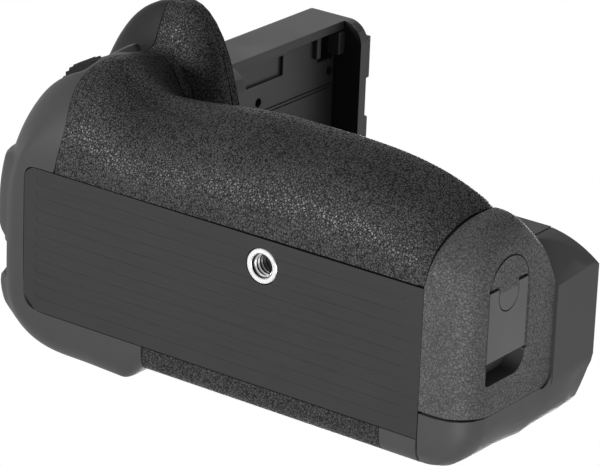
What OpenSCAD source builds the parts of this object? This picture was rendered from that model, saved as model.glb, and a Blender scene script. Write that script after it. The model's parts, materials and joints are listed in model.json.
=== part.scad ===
// Battery grip for a mid-size camera: upright as in use, the camera's front towards -Y, the magazine door at +X.
// The origin is the centre of the tripod socket at its mouth, on the underside.

/* [Base plate] */
// Left end of the base plate, from the tripod socket
plate_left = 76; // [70:0.5:80]
// Right end of the base plate, from the tripod socket
plate_right = 48; // [46:0.5:50]
// Front edge of the base plate, from the tripod socket
plate_front = 7.2; // [6:0.1:9]
// Back edge of the base plate, from the tripod socket
plate_back = 31.7; // [30:0.1:33]
// Thickness of the base plate
plate_t = 2.4; // [2:0.1:3]
// Spacing of the grooves between the ridges
ridge_pitch = 3.45; // [3:0.05:4]
// Width of a groove
groove_w = 1.9; // [1.2:0.1:2.4]
// Depth of a groove
groove_d = 0.25; // [0.15:0.05:0.5]

/* [Body] */
// Height of the face that meets the camera
body_h = 50; // [48:0.5:52]
// Outermost point of the shutter end
left_end = 89.5; // [86:0.5:92]
// Height of the rounding along the bottom of the shutter end
left_round = 13.5; // [11:0.5:15]
// Plane of the back
back_face = 39.3; // [38:0.1:41]
// Height of the rounding along the bottom of the back
back_round = 7.5; // [6:0.5:9]
// How far the thumb rest stands behind the back plane
thumb_bulge = 5; // [4:0.1:5.5]
// Plane of the door end
door_end = 62; // [60:0.5:64]
// How much further out the door end is at the top
end_flare = 3.5; // [2:0.5:5]
// Radius along the bottom of the door end
end_round = 9; // [7:0.5:11]
// Plane of the upper front beside the grip bulge
upper_front = 9.4; // [9:0.1:11]
// Radius of the upper front corner, in plan
front_corner_r = 28.7; // [24:0.1:32]
// Radius of the back corner at the door end, in plan
back_corner_r = 12; // [10:0.5:13]
// Radius of the same corner at the mating face
top_corner_r = 19; // [14:0.5:20]
// Gap along every seam
seam = 0.25; // [0.2:0.05:0.35]

/* [Grip surface] */
// Height of the bulge's crest
crest_z = 22; // [20:0.5:24]
// Depth of the main bulge in front of the socket
main_depth = 31; // [29:0.5:33]
// Place of the deepest point of the main bulge
main_x = -8; // [-12:0.5:-4]
// Depth of the bulge where it meets the door
door_depth = 22.5; // [21:0.5:25]
// Depth of the finger valley
valley_depth = 27.5; // [25:0.5:29]
// Place of the finger valley
valley_x = -46; // [-48:0.5:-42]
// Depth of the lower hump at the shutter end
hump_depth = 34; // [32:0.5:36]
// Place of the lower hump
hump_x = -62; // [-64:0.5:-60]
// Depth of the upper hump, where the camera's own grip goes on
upper_hump_depth = 42.3; // [41:0.1:44]
// Half width of the upper hump
upper_hump_w = 17.4; // [16:0.2:19]
// Thickness of the rubber
rubber_t = 1.2; // [1:0.1:1.5]
// Thickness of the moulded shells
shell_t = 2; // [1.6:0.1:2.4]

/* [Stem] */
// Left side of the stem
stem_x0 = -68; // [-70:0.5:-66]
// Width of the stem across the camera
stem_w = 21; // [20:0.5:22]
// Front of the stem
stem_front = 25.5; // [24:0.5:27]
// Depth of the stem from front to back
stem_d = 38.5; // [37:0.5:40]
// Length of the stem above the body
stem_h = 58; // [54:0.5:62]
// Depth of the recess that stores the camera's battery door
recess_d = 9; // [7:0.5:10]
// Thickness of the walls round the recess
recess_wall = 2.4; // [2:0.1:3]

/* [Magazine] */
// Inner end of the battery bay
bay_x0 = -56; // [-58:0.5:-54]
// Front wall of the battery bay
bay_front = 11.8; // [11.4:0.1:12]
// Width of the battery bay
bay_w = 36; // [35.4:0.1:36.2]
// Floor of the battery bay
bay_z0 = 9.6; // [9.4:0.1:10]
// Height of the battery bay
bay_h = 23; // [22:0.1:23.4]
// Wall of the bay
bay_wall = 1.4; // [1.2:0.1:1.6]
// Clearance round the magazine
slide_gap = 0.3; // [0.25:0.05:0.4]
// Length of one battery pack
pack_l = 44.4; // [42:0.1:44.4]
// Wall of the magazine tray
tray_wall = 1.2; // [1:0.1:1.4]
// Back edge of the magazine door
door_back = 24.7; // [24:0.1:25.5]

/* [Latch] */
// Centre of the latch, in front of the socket
latch_front = 6.5; // [6:0.1:7]
// Height of the latch
latch_z = 15.6; // [15:0.1:16.2]
// Radius of the turning disc
latch_r = 8.1; // [7.8:0.1:8.3]
// Length of the fold-out lever from its hinge
lever_l = 17.7; // [16:0.1:18.5]
// Thickness of the lever
lever_t = 2.4; // [2:0.1:2.6]
// Width of the tongue in the lever
tongue_w = 8; // [7:0.1:9]
// Radius of the hinge pin
hinge_r = 0.8; // [0.6:0.05:0.9]
// Radius of the latch shaft
shaft_r = 3; // [2.5:0.1:3.4]
// Radial running clearance of shafts and pins
run_gap = 0.05; // [0.03:0.01:0.08]

/* [Attachment screw] */
// Radius of the tripod thread, 1/4 inch
thread_r = 3.175; // [3.175:0.001:3.175]
// Length of the screw above the mating face
screw_out = 6; // [5:0.5:7]
// Depth of the tripod socket
socket_depth = 7; // [6:0.5:7.5]
// Radius of the socket's flange
socket_flange_r = 4.7; // [4.4:0.1:5]
// Teeth of the gear on the screw
screw_teeth = 10; // [10:1:10]
// Teeth of the idler gear
idler_teeth = 24; // [24:1:24]
// Teeth of the gear on the thumbwheel
wheel_teeth = 14; // [14:1:14]
// Radius of the thumbwheel's rim
wheel_r = 12.5; // [12:0.1:13]

/* [Controls] */
// Radius of the shutter button
shutter_r = 4.6; // [4:0.1:5]
// Travel of the buttons
press_travel = 0.8; // [0.6:0.1:1]
// Radius of the main dial
dial_r = 10.5; // [10:0.1:11]
// Width of the main dial
dial_w = 6.6; // [6:0.1:7.2]
// Radius of the thumb buttons
thumb_r = 3.1; // [2.8:0.1:3.4]
// Spacing of the thumb buttons
thumb_pitch = 8.6; // [8.4:0.1:8.8]

/* [Hidden] */
$fn = 64;

// Colours
rubber_colour = "#2b2b2c";
shell_colour = "#3a3a3b";
plate_colour = "#303031";
inner_colour = "#1d1d1e";
steel_colour = "#c4c6c8";
brass_colour = "#c9a54b";
board_colour = "#1f4a36";
pack_colour = "#262628";

function mix(a, b, t) = a + (b - a) * t;
function smooth(t) = t <= 0 ? 0 : t >= 1 ? 1 : t * t * (3 - 2 * t);
function soft_max(a, b, k) = (a + b + sqrt((a - b) * (a - b) + k * k)) / 2;

// Outer surface of the grip. u runs round it: -2 to -1 along the back, -1 to 0 round the back corner of the
// shutter end, 0 to 1 round its front corner and 1 to 2 along the front. v runs from the base plate (0) over
// the bottom rounding (1) up to the mating face (2).
corner_y = 8;
back_corner_y = 18;
back_corner_x = -62;
rear_x0 = -37;
groove_top = 38;
groove_floor = 31;
front_end_lean = 3;

function crest(x) =
    x < valley_x ? mix(hump_depth, valley_depth, smooth((x - hump_x) / (valley_x - hump_x))) :
    x < main_x ? mix(valley_depth, main_depth, smooth((x - valley_x) / (main_x - valley_x))) :
    main_depth - (main_depth - door_depth) * pow((x - main_x) / (plate_right + front_end_lean - main_x), 2.3);

function upper_hump(x) =
    let (k = (x - hump_x) / upper_hump_w)
    k >= 1 ? 0 : upper_hump_depth * sqrt(1 - k * k);

function front_floor(x) = mix(groove_floor, upper_front, smooth((x - hump_x) / 18));

function front_depth(x, z) =
    z <= crest_z ? crest(x) :
    let (
        fall = 1 - smooth((z - crest_z) / (groove_top - crest_z)),
        low = mix(front_floor(x), crest(x), fall),
        high = upper_hump(x) * smooth((z - 28) / 18)
    )
    high < 1 ? low : soft_max(low, high, min(4, high));

function round_height(u) =
    u >= 1 ? crest_z :
    u >= 0 ? mix(left_round, crest_z, smooth(u)) :
    u >= -1 ? mix(back_round, left_round, smooth(u + 1)) :
    back_round;

function seam_x(z) = plate_right + front_end_lean * min(1, z / crest_z);

function corner_power(g, full) = mix(full, 10, pow(1 - g, 2.5));

function back_depth(x, g) = mix(plate_back + seam, back_face + thumb_bulge * smooth((rear_x0 - x - 0.5) / 8), g);

function height_at(u, v) =
    let (r = round_height(u))
    v <= 1 ? r * (1 - cos(90 * v)) : mix(r, body_h, v - 1);

function envelope(u, v) =
    let (
        g = v <= 1 ? sin(90 * v) : 1,
        z = height_at(u, v),
        p = 2 / corner_power(g, u >= 0 ? mix(1.95, 2.3, smooth((z - 26) / 18)) : 2.3),
        side = mix(plate_left + seam, left_end, g)
    )
    u >= 1 ? let (x = mix(hump_x, seam_x(z), u - 1))
        [x, -mix(plate_front + seam, front_depth(x, z), g), z] :
    u >= 0 ? let (depth = mix(plate_front + seam, front_depth(hump_x, z), g), s = pow(cos(90 * u), p))
        [hump_x - (side + hump_x) * s, corner_y - (corner_y + depth) * pow(sin(90 * u), p), z] :
    u >= -1 ? let (s = pow(cos(90 * u), p), c = pow(max(0, sin(-90 * u)), p))
        [back_corner_x - (side + back_corner_x) * s,
            mix(corner_y, back_corner_y, min(1, -u * 4)) + (back_depth(back_corner_x, g) - back_corner_y) * c, z] :
    let (x = mix(rear_x0, back_corner_x, u + 2))
        [x, back_depth(x, g), z];

step = 0.004;
function normal(u, v) =
    let (
        a = envelope(min(2, u + step), v) - envelope(max(-2, u - step), v),
        b = envelope(u, min(2, v + step)) - envelope(u, max(0, v - step)),
        n = cross(a, b)
    )
    n / norm(n);

// A wall between two sheets of points that have the same rows and columns
module walled(outer, inner, rows, columns) {
    w = columns + 1;
    count = rows * w;
    sheet = [for (j = [0:rows - 2], i = [0:columns - 1]) let (a = j * w + i) each
        [[a, a + w, a + 1], [a + 1, a + w, a + w + 1]]];
    ring = concat([for (i = [0:columns]) i], [for (j = [1:rows - 1]) j * w + columns],
        [for (i = [columns - 1:-1:0]) (rows - 1) * w + i], [for (j = [rows - 2:-1:1]) j * w]);
    back = [for (f = sheet) [f[0] + count, f[2] + count, f[1] + count]];
    edge = [for (k = [0:len(ring) - 1]) let (a = ring[k], b = ring[(k + 1) % len(ring)]) each
        [[a, b, b + count], [a, b + count, a + count]]];
    polyhedron(concat(outer, inner), concat(sheet, back, edge), convexity = 6);
}

// A moulded skin over part of the surface: starts and ends are the u limits of each row of vs, and outer and
// inner are how far its two faces lie from the surface. A spread over 1 sets columns closer at the start; drawn
// keeps only the first columns, and sunk lowers the outer face where rubber covers it.
module skin(vs, starts, ends, total, spread, outer, inner, sunk = false, drawn = 0) {
    rows = len(vs);
    columns = drawn > 0 ? drawn : total;
    function u_at(i, j) = mix(starts[j], ends[j], pow(i / total, spread));
    function face(off, low) = [for (j = [0:rows - 1], i = [0:columns]) let (u = u_at(i, j))
        envelope(u, vs[j]) + (low && under_rubber(u, vs[j]) ? -rubber_t - 0.06 : off) * normal(u, vs[j])];
    walled(face(outer, sunk), face(inner, false), rows, columns);
}

lower_rows = [for (k = [0:8]) k / 8];
rubber_top = 1.5;
door_top = mix(crest_z, body_h, rubber_top - 1);
hump_top = 1.9;
hump_columns = 13;
rubber_rows = concat(lower_rows, [for (k = [1:5]) 1 + k / 10]);
hump_rows = [for (k = [0:3]) mix(rubber_top + 0.012, hump_top, k / 3)];
cover_rows = concat(rubber_rows, hump_rows, [2]);
shell_rows = concat(rubber_rows, hump_rows, [hump_top + 0.01, 2]);
front_columns = 40;
front_spread = 1.35;

function front_u(v, i) = mix(rubber_edge(v) + edge_gap(v), 2, pow(i / front_columns, front_spread));

function under_rubber(u, v) = v <= rubber_top || (v <= hump_top && u < front_u(v, hump_columns + 0.5));

// Left edge of the front rubber in each row
function rubber_edge(v) =
    v < 0.6 ? 0.998 - 0.123 * pow(v / 0.6, 1.6) :
    v < 1.25 ? mix(0.875, 0.98, smooth((v - 0.68) / 0.5)) :
    mix(0.98, 0.922, smooth((v - 1.25) / 0.3));

// Half of the seam beside the rubber, as a share of u, which runs faster along the sharp bottom edge
function edge_gap(v) = mix(0.0008, 0.0032, smooth(v / 0.3));

module box(x0, x1, y0, y1, z0, z1) {
    translate([x0, y0, z0])
        cube([x1 - x0, y1 - y0, z1 - z0]);
}

// A profile drawn in Y and Z, carried along X
module along_x(x0, x1) {
    translate([x0, 0, 0])
        rotate([90, 0, 90])
            linear_extrude(x1 - x0)
                children();
}

// A profile drawn in X and Z, carried along Y
module along_y(y0, y1) {
    translate([0, y1, 0])
        rotate([90, 0, 0])
            linear_extrude(y1 - y0)
                children();
}

module rod_x(r, x0, x1) {
    translate([x0, 0, 0])
        rotate([0, 90, 0])
            cylinder(r = r, h = x1 - x0);
}

module rod_z(r, z0, z1) {
    translate([0, 0, z0])
        cylinder(r = r, h = z1 - z0);
}

// A rectangle with four equal round corners
module round_rect(x0, x1, y0, y1, r) {
    translate([x0 + r, y0])
        square([x1 - x0 - 2 * r, y1 - y0]);
    translate([x0, y0 + r])
        square([x1 - x0, y1 - y0 - 2 * r]);
    for (x = [x0 + r, x1 - r], y = [y0 + r, y1 - r])
        translate([x, y])
            circle(r);
}

// Base plate, socket and chassis
plate_corner_r = 3.5;
groove_margin = 3.2;
groove_end_left = 4;
groove_end_right = 5;

module plate_outline() {
    difference() {
        translate([-plate_left, -plate_front])
            square([plate_left + plate_right, plate_front + plate_back]);
        translate([-plate_left, -plate_front])
            difference() {
                translate([-1, -1])
                    square(plate_corner_r + 1);
                translate([plate_corner_r, plate_corner_r])
                    circle(plate_corner_r);
            }
        translate([-plate_left, plate_back])
            rotate(45)
                square(plate_corner_r * 1.6, center = true);
    }
}

module base_plate() {
    groove_count = floor((plate_front + plate_back - 2 * groove_margin) / ridge_pitch) + 1;
    color(plate_colour)
        difference() {
            linear_extrude(plate_t)
                plate_outline();
            for (k = [0:groove_count - 1])
                translate([0, -plate_front + groove_margin + k * ridge_pitch, -1])
                    linear_extrude(1 + groove_d)
                        round_rect(-plate_left + groove_end_left, plate_right - groove_end_right,
                            -groove_w / 2, groove_w / 2, groove_w / 2 - 0.01);
            rod_z(socket_flange_r + 0.05, -1, plate_t + 1);
        }
}

socket_wall = 1.1;
socket_cap = 0.9;

module tripod_socket() {
    color(steel_colour)
        difference() {
            union() {
                rod_z(socket_flange_r, 0, plate_t);
                rod_z(thread_r + socket_wall, 0, socket_depth + socket_cap);
            }
            rod_z(thread_r, -1, socket_depth);
        }
}

bay_y0 = -bay_front;
bay_y1 = bay_y0 + bay_w;
bay_z1 = bay_z0 + bay_h;
bay_chamfer = 3;
bay_top_chamfer = 6.2;
chassis_x0 = bay_x0 - bay_wall;
chassis_x1 = plate_right - 1;
floor_z = bay_z0 - bay_wall;
roof_z = bay_z1 + 2.6;

// Section of the bay, grown outwards for its walls and inwards for the magazine
module bay_profile(grow) {
    cut = grow * 0.41;
    polygon([[bay_y0 - grow, bay_z0 + bay_chamfer - cut], [bay_y0 + bay_chamfer - cut, bay_z0 - grow],
        [bay_y1 + grow, bay_z0 - grow], [bay_y1 + grow, bay_z1 + grow],
        [bay_y0 + bay_top_chamfer - cut, bay_z1 + grow], [bay_y0 - grow, bay_z1 - bay_top_chamfer + cut]]);
}

keeper_x0 = 43.6;
keeper_x1 = 46.4;
keeper_half = 3.4;
keeper_sweep = 7.6;
foot_y = [-5, 27];

module chassis() {
    color(inner_colour)
        difference() {
            union() {
                along_x(chassis_x0, chassis_x1)
                    bay_profile(bay_wall);
                box(chassis_x0, chassis_x1, bay_y0 + bay_top_chamfer + 1, bay_y1 + bay_wall, bay_z1, roof_z);
                for (x = [-48, 36])
                    box(x, x + 4, -2, bay_y1 + bay_wall, plate_t + 0.05, bay_z0);
                difference() {
                    rod_z(socket_flange_r + 2, plate_t + 0.05, bay_z0);
                    rod_z(thread_r + socket_wall + 0.05, plate_t, socket_depth + socket_cap + 0.05);
                }
            }
            along_x(bay_x0, chassis_x1 + 1)
                bay_profile(0);
            rod_z(thread_r + socket_wall + 0.05, plate_t - 1, socket_depth + socket_cap + 0.05);
            box(keeper_x0, keeper_x1, -latch_front - keeper_half, -latch_front + keeper_sweep, floor_z - 1, bay_z0 + 0.5);
            for (p = [idler_at, wheel_at])
                translate(p)
                    rod_z(post_r, bay_z1 + 1.2, roof_z + 1);
            rod_z(screw_journal_r + run_gap, bay_z1 + 1.2, roof_z + 1);
        }
}

// Shells and rubber
module front_shell() {
    color(shell_colour)
        skin(shell_rows, [for (v = shell_rows) rubber_edge(v) + edge_gap(v)], [for (v = shell_rows) 2], front_columns,
            front_spread, 0, -rubber_t - shell_t, sunk = true);
}

module front_grip_rubber() {
    color(rubber_colour)
        skin(rubber_rows, [for (v = rubber_rows) rubber_edge(v) + edge_gap(v)], [for (v = rubber_rows) 2], front_columns,
            front_spread, 0, -rubber_t);
}

module hump_grip_rubber() {
    color(rubber_colour)
        skin(hump_rows, [for (v = hump_rows) rubber_edge(v) + edge_gap(v)], [for (v = hump_rows) 2], front_columns,
            front_spread, 0, -rubber_t, drawn = hump_columns);
}

strap_y0 = 16.4;
strap_y1 = 26.4;
strap_x = -83.6;
strap_z1 = 17;
thumb_x = [for (k = [-1:1]) -56 + k * thumb_pitch];
thumb_z = 34;
lever_at = [-left_end, 6, 38];
lever_shaft_r = 3;
lever_cap = 1.9;

module shutter_end_cover() {
    color(shell_colour)
        difference() {
            skin(cover_rows, [for (v = cover_rows) -2], [for (v = cover_rows) rubber_edge(v) - edge_gap(v)], 38, 1,
                0, -shell_t);
            box(-left_end - 5, strap_x, strap_y0, strap_y1, -1, strap_z1);
            translate(dial_at)
                rod_z(dial_r + 0.5, dial_z0 - 0.4, dial_z0 + dial_w + 0.4);
            shutter_place()
                rod_z(shutter_r + 0.3, -12, 12);
            for (x = thumb_x)
                translate([x, 0, thumb_z])
                    rotate([-90, 0, 0])
                        rod_z(thumb_r + 0.3, 30, 60);
            translate([0, lever_at[1], lever_at[2]])
                rod_x(lever_shaft_r + 0.3, -left_end - 5, -left_end + 8);
        }
}

// Back wall with its rounded bottom edge, set in by the given amount
module back_profile(inset) {
    r = back_round - inset;
    y1 = back_face - inset;
    difference() {
        union() {
            translate([plate_back + seam, back_round])
                square([y1 - plate_back - seam, body_h - back_round]);
            translate([y1 - r, back_round])
                circle(r);
            translate([plate_back + seam, inset])
                square([y1 - r - plate_back - seam, back_round]);
        }
        translate([plate_back - 20, -1])
            square([20 + seam, body_h]);
    }
}

rear_rubber_x1 = 37;
rear_rubber_z1 = 31;
deck_t = 2.6;
deck_z0 = body_h - deck_t;
train_h = deck_z0 - roof_z;
wheel_z0 = roof_z + 0.4;
wheel_h = 0.41 * train_h;

module rear_shell() {
    color(shell_colour)
        difference() {
            along_x(rear_x0 + seam, plate_right - seam)
                difference() {
                    back_profile(0);
                    back_profile(rubber_t + shell_t);
                }
            intersection() {
                box(rear_x0, rear_rubber_x1, 0, back_face + 1, -1, rear_rubber_z1);
                along_x(rear_x0 - 1, rear_rubber_x1)
                    difference() {
                        translate([0, -1])
                            square([back_face + 2, body_h]);
                        back_profile(rubber_t + 0.06);
                    }
            }
            translate(wheel_at) {
                rod_z(wheel_r + 0.5, wheel_z0 - 0.4, wheel_z0 + wheel_h + 0.4);
                rod_z(gear_m * wheel_teeth / 2 + 1.4, wheel_z0, gear_z0 + gear_h + 0.4);
            }
        }
}

module rear_grip_rubber() {
    color(rubber_colour)
        intersection() {
            box(rear_x0 + seam + 0.2, rear_rubber_x1 - seam, 0, back_face + 1, -1, rear_rubber_z1 - seam);
            along_x(rear_x0, rear_rubber_x1)
                difference() {
                    back_profile(0);
                    back_profile(rubber_t);
                }
        }
}

// Door end of the housing: its outline is cast outwards, level by level, from a point inside
end_z0 = 32;
end_wall = 2.2;
end_from = [plate_right + seam, front_corner_r - upper_front];
end_levels = [0, 0, 0.8, 2.4, 4.6, 7.5, 9, 20, 28, 32, 36, 40, 43, 45.5, 48, body_h];
end_columns = [7, 4, 3, 10, 3];
lean_at = [door_end, -1.6, door_top + 0.3];
lean_turn = -59.5;
lean_tilt = 17.3;
lean_normal = [cos(lean_tilt) * cos(lean_turn), cos(lean_tilt) * sin(lean_turn), -sin(lean_tilt)];

function end_x(z) = door_end + (z <= end_z0 ? 0 : end_flare * (z - end_z0) / (body_h - end_z0));

// How far a rounded lower edge of radius r stands in at a height
function drawn_in(z, r, inset) = z >= r ? inset : r - sqrt(max(0, pow(r - inset, 2) - pow(r - z, 2)));

function end_side(z, inset) = end_x(z) - drawn_in(z, end_round, inset);

function end_back(z, inset) = back_face - drawn_in(z, back_round, inset);

function end_corner(z, inset) =
    max(2, mix(back_corner_r, top_corner_r, smooth((z - 22) / 26)) - drawn_in(z, end_round, inset));

// Where the front leans back, as the limit of lean_normal * [x, y] at a height
function lean_limit(z, inset) = lean_normal * lean_at - inset - lean_normal[2] * z;

function lean_dot(p) = lean_normal[0] * p[0] + lean_normal[1] * p[1];

// Angles at which the outline changes: front arc, lean, end face, back corner, back face
function end_stops(z, inset) =
    let (
        e = end_side(z, inset),
        b = end_back(z, inset) - end_from[1],
        r = end_corner(z, inset),
        arc = front_corner_r - inset,
        lean_y = (lean_limit(z, inset) - lean_normal[0] * e) / lean_normal[1] - end_from[1],
        arc_y = -sqrt(pow(arc, 2) - pow(e - plate_right, 2)),
        second = atan2(max(lean_y, arc_y), e - end_from[0]),
        near = (lean_limit(z, inset) - lean_dot([plate_right, end_from[1]])) / cos(lean_tilt),
        first = lean_turn - acos(min(1, near / arc))
    )
    [-90, min(second - 0.4, max(-89, first)), second, atan2(b - r, e - end_from[0]), min(89, atan2(b, e - r - end_from[0])), 90];

function end_reach(a, z, inset) =
    let (
        d = [cos(a), sin(a)],
        e = end_side(z, inset) - end_from[0],
        b = end_back(z, inset) - end_from[1],
        r = end_corner(z, inset),
        m = [e - r, b - r],
        arc = -seam * d[0] + sqrt(pow(front_corner_r - inset, 2) - pow(seam * d[1], 2)),
        lean = lean_dot(d) > 0.001 ? (lean_limit(z, inset) - lean_dot(end_from)) / lean_dot(d) : 100,
        end = d[0] > 0.001 ? e / d[0] : 100,
        back = d[1] > 0.001 ? b / d[1] : 100
    )
    min(end, back) * d[0] > m[0] && min(end, back) * d[1] > m[1] ? d * m + sqrt(pow(d * m, 2) - m * m + r * r) : min(arc, lean, end, back);

function end_sheet(inset) =
    [for (i = [0:len(end_levels) - 1])
        let (z = mix(inset, body_h, end_levels[i] / body_h), stops = end_stops(z, inset))
        for (k = [0:4], j = [0:end_columns[k] - (k < 4 ? 1 : 0)])
            let (a = mix(stops[k], stops[k + 1], j / end_columns[k]))
            let (t = end_reach(a, z, inset) * (i == 0 ? 0.2 : 1))
                [end_from[0] + t * cos(a), end_from[1] + t * sin(a), z]];

module end_plan(inset) {
    x1 = door_end + end_flare - inset;
    y1 = back_face - inset;
    difference() {
        translate([plate_right + seam - 20, -upper_front + inset])
            square([x1 - plate_right - seam + 20, y1 + upper_front - inset]);
        difference() {
            translate([plate_right, -upper_front - 1])
                square([40, front_corner_r + 1]);
            translate([plate_right, -upper_front + front_corner_r])
                circle(front_corner_r - inset);
        }
    }
}

// Room for the magazine door: the front of its top slopes down to the bulge
door_slope = 27.7;

module door_slope_cut(gap) {
    translate([0, lean_at[1], lean_at[2]])
        rotate([door_slope, 0, 0])
            box(plate_right - 20, door_end + 20, -60, 0, gap, 60);
}

module door_zone(gap) {
    difference() {
        box(plate_right, door_end + 20, -60, door_back + gap, -1, door_top + gap);
        door_slope_cut(gap);
    }
}

module end_housing() {
    color(shell_colour)
        difference() {
            walled(end_sheet(0), end_sheet(end_wall), len(end_levels), end_columns * [1, 1, 1, 1, 1]);
            door_zone(seam);
            box(plate_right, plate_right + front_end_lean + seam, -60, -upper_front + 3.6, -1, body_h + 1);
        }
}

// Mating face with its screws and pins
deck_gap = 0.3;
deck_us = concat([for (k = [0:8]) -1 + k / 8], [for (k = [1:6]) k / 7], [for (k = [0:front_columns]) front_u(2, k)]);
deck_screw_at = [[-38, 30], [50, 30], [50, 2], [-38, 2]];
pin_at = [[26, 6], [-30, 6]];
screw_hole_r = 4.2;

module deck_outline(inset) {
    polygon(concat([for (u = deck_us) let (p = envelope(u, 2), n = normal(u, 2)) [p[0] - n[0] * inset, p[1] - n[1] * inset]],
        [[plate_right, back_face - inset - rubber_t], [back_corner_x, back_face - inset - rubber_t]]));
    intersection() {
        end_plan(inset);
        translate([plate_right - 5, -60])
            square([60, 120]);
        translate([door_end + end_flare - top_corner_r - 60, back_face - top_corner_r - 60])
            union() {
                square([60, 120]);
                square([120, 60]);
                translate([60, 60])
                    circle(top_corner_r - inset);
            }
    }
}

module top_deck() {
    color(shell_colour)
        difference() {
            translate([0, 0, deck_z0])
                linear_extrude(deck_t)
                    deck_outline(rubber_t + shell_t + deck_gap);
            rod_z(screw_hole_r, deck_z0 - 1, body_h + 1);
            for (p = deck_screw_at)
                translate(p) {
                    rod_z(1.3, deck_z0 - 1, body_h + 1);
                    rod_z(2.3, body_h - 1.2, body_h + 1);
                }
            for (p = pin_at)
                translate(p)
                    rod_z(pin_root_r, deck_z0 - 1, body_h + 1);
        }
}

module deck_screws() {
    color(steel_colour)
        for (p = deck_screw_at)
            translate(p)
                difference() {
                    union() {
                        rod_z(1.1, deck_z0 - 4, body_h - 0.3);
                        rod_z(2.1, body_h - 1.15, body_h - 0.1);
                    }
                    for (a = [0, 90])
                        rotate(a)
                            box(-1.3, 1.3, -0.25, 0.25, body_h - 0.6, body_h);
                }
}

pin_r = 2;
pin_root_r = 1.6;
pin_out = 2.2;

module locating_pins() {
    color(steel_colour)
        for (p = pin_at)
            translate(p) {
                rod_z(pin_root_r - 0.02, deck_z0 - 1, body_h);
                rod_z(pin_r - 0.02, body_h, body_h + pin_out - 0.8);
                translate([0, 0, body_h + pin_out - 0.8])
                    cylinder(r1 = pin_r - 0.02, r2 = pin_r - 0.8, h = 0.8);
            }
}

// Stem that goes into the camera's battery compartment
stem_x1 = stem_x0 + stem_w;
stem_y0 = -stem_front;
stem_y1 = stem_y0 + stem_d;
stem_top = body_h + stem_h;
stem_floor_x = stem_x1 - recess_d;
stem_corner_r = 6;
stem_back_r = 2.5;
tip_wall = 3;
stem_cover_t = 1.6;

module stem_outline() {
    difference() {
        translate([stem_x0, stem_y0])
            square([stem_w, stem_d]);
        for (c = [[stem_x1, stem_y0, stem_corner_r, 90], [stem_x1, stem_y1, stem_back_r, 180],
                [stem_x0, stem_y0, stem_back_r, 0], [stem_x0, stem_y1, stem_back_r, 270]])
            translate([c[0], c[1]])
                rotate(c[3])
                    difference() {
                        translate([-1, -1])
                            square(c[2] + 1);
                        translate([c[2], c[2]])
                            circle(c[2]);
                    }
    }
}

recess_z0 = body_h + 4;
recess_y0 = stem_y0 + recess_wall;
recess_y1 = stem_y1 - recess_wall;
recess_z1 = stem_top - tip_wall;
tab_z = 1.8;
contact_y0 = stem_y0 + 3;
contact_y1 = stem_y0 + 11;

module stem_shell() {
    color(shell_colour)
        difference() {
            union() {
                translate([0, 0, body_h + 0.05])
                    linear_extrude(stem_h - 0.05)
                        stem_outline();
                // End tabs that guide the stem
                box(stem_floor_x + 3, stem_x1 - 2.2, stem_y0 + 4, stem_y0 + 16, stem_top - 1, stem_top + tab_z);
                box(stem_floor_x + 3, stem_x1 - 2.2, stem_y0 + 27, stem_y1 - 4, stem_top - 1, stem_top + tab_z);
            }
            box(stem_floor_x, stem_x1 + 1, recess_y0, recess_y1, recess_z0, recess_z1);
            // Raised pad and lines in the floor of the recess
            box(stem_floor_x - 0.8, stem_floor_x + 0.5, recess_y0 + 2.4, recess_y0 + 8, recess_z0 + 10, recess_z0 + 28);
            for (y = [recess_y0 + 15.6, recess_y0 + 16.6])
                box(stem_floor_x - 0.4, stem_floor_x + 0.5, y, y + 0.45, recess_z0 + 20, recess_z1 - 0.5);
            // Contact window, oval hole and round hole
            box(stem_x0 + 3, stem_floor_x + 1, contact_y0, contact_y1, stem_top - 10.5, stem_top - 3.6);
            translate([0, contact_y1 + 3.6, stem_top - 4.8])
                rod_x(1.3, stem_floor_x - 3, stem_floor_x + 1);
            translate([0, stem_y0 + 15.5, body_h + 21.5])
                rod_x(1.3, stem_floor_x - 3, stem_floor_x + 1);
            // Hollow behind the back cover
            box(stem_x0 - 1, stem_x0 + stem_cover_t + 0.1, stem_y0 + 3, stem_y1 - 3, body_h + 3, stem_top - 3);
            for (p = stem_screw_at)
                translate([0, p[0], p[1]])
                    rod_x(1, stem_x0, stem_x0 + 7);
        }
}

stem_screw_at = [for (y = [stem_y0 + 6, stem_y1 - 6], z = [body_h + 6, stem_top - 14]) [y, z]];

module stem_back_cover() {
    color(shell_colour)
        difference() {
            box(stem_x0, stem_x0 + stem_cover_t, stem_y0 + 3.2, stem_y1 - 3.2, body_h + 3.2, stem_top - 3.2);
            for (p = stem_screw_at)
                translate([0, p[0], p[1]]) {
                    rod_x(1.2, stem_x0 - 1, stem_x0 + 7);
                    rod_x(2, stem_x0 - 1, stem_x0 + 0.8);
                }
        }
}

module stem_screws() {
    color(steel_colour)
        for (p = stem_screw_at)
            translate([0, p[0], p[1]])
                difference() {
                    union() {
                        rod_x(0.95, stem_x0 + 0.1, stem_x0 + 6);
                        rod_x(1.85, stem_x0 + 0.05, stem_x0 + 0.75);
                    }
                    for (a = [0, 90])
                        rotate([a, 0, 0])
                            box(stem_x0, stem_x0 + 0.4, -1.2, 1.2, -0.22, 0.22);
                }
}

block_gap = 0.15;
contact_pitch = 2.4;

module stem_contact_block() {
    color(inner_colour)
        difference() {
            box(stem_x0 + 3 + block_gap, stem_floor_x - 4, contact_y0 + block_gap, contact_y1 - block_gap,
                stem_top - 10.5 + block_gap, stem_top - 3.6 - block_gap);
            for (k = [-1:1])
                translate([0, (contact_y0 + contact_y1) / 2 + k * contact_pitch, 0])
                    box(stem_floor_x - 6, stem_floor_x, -0.6, 0.6, stem_top - 9.5, stem_top - 4.5);
        }
}

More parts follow.
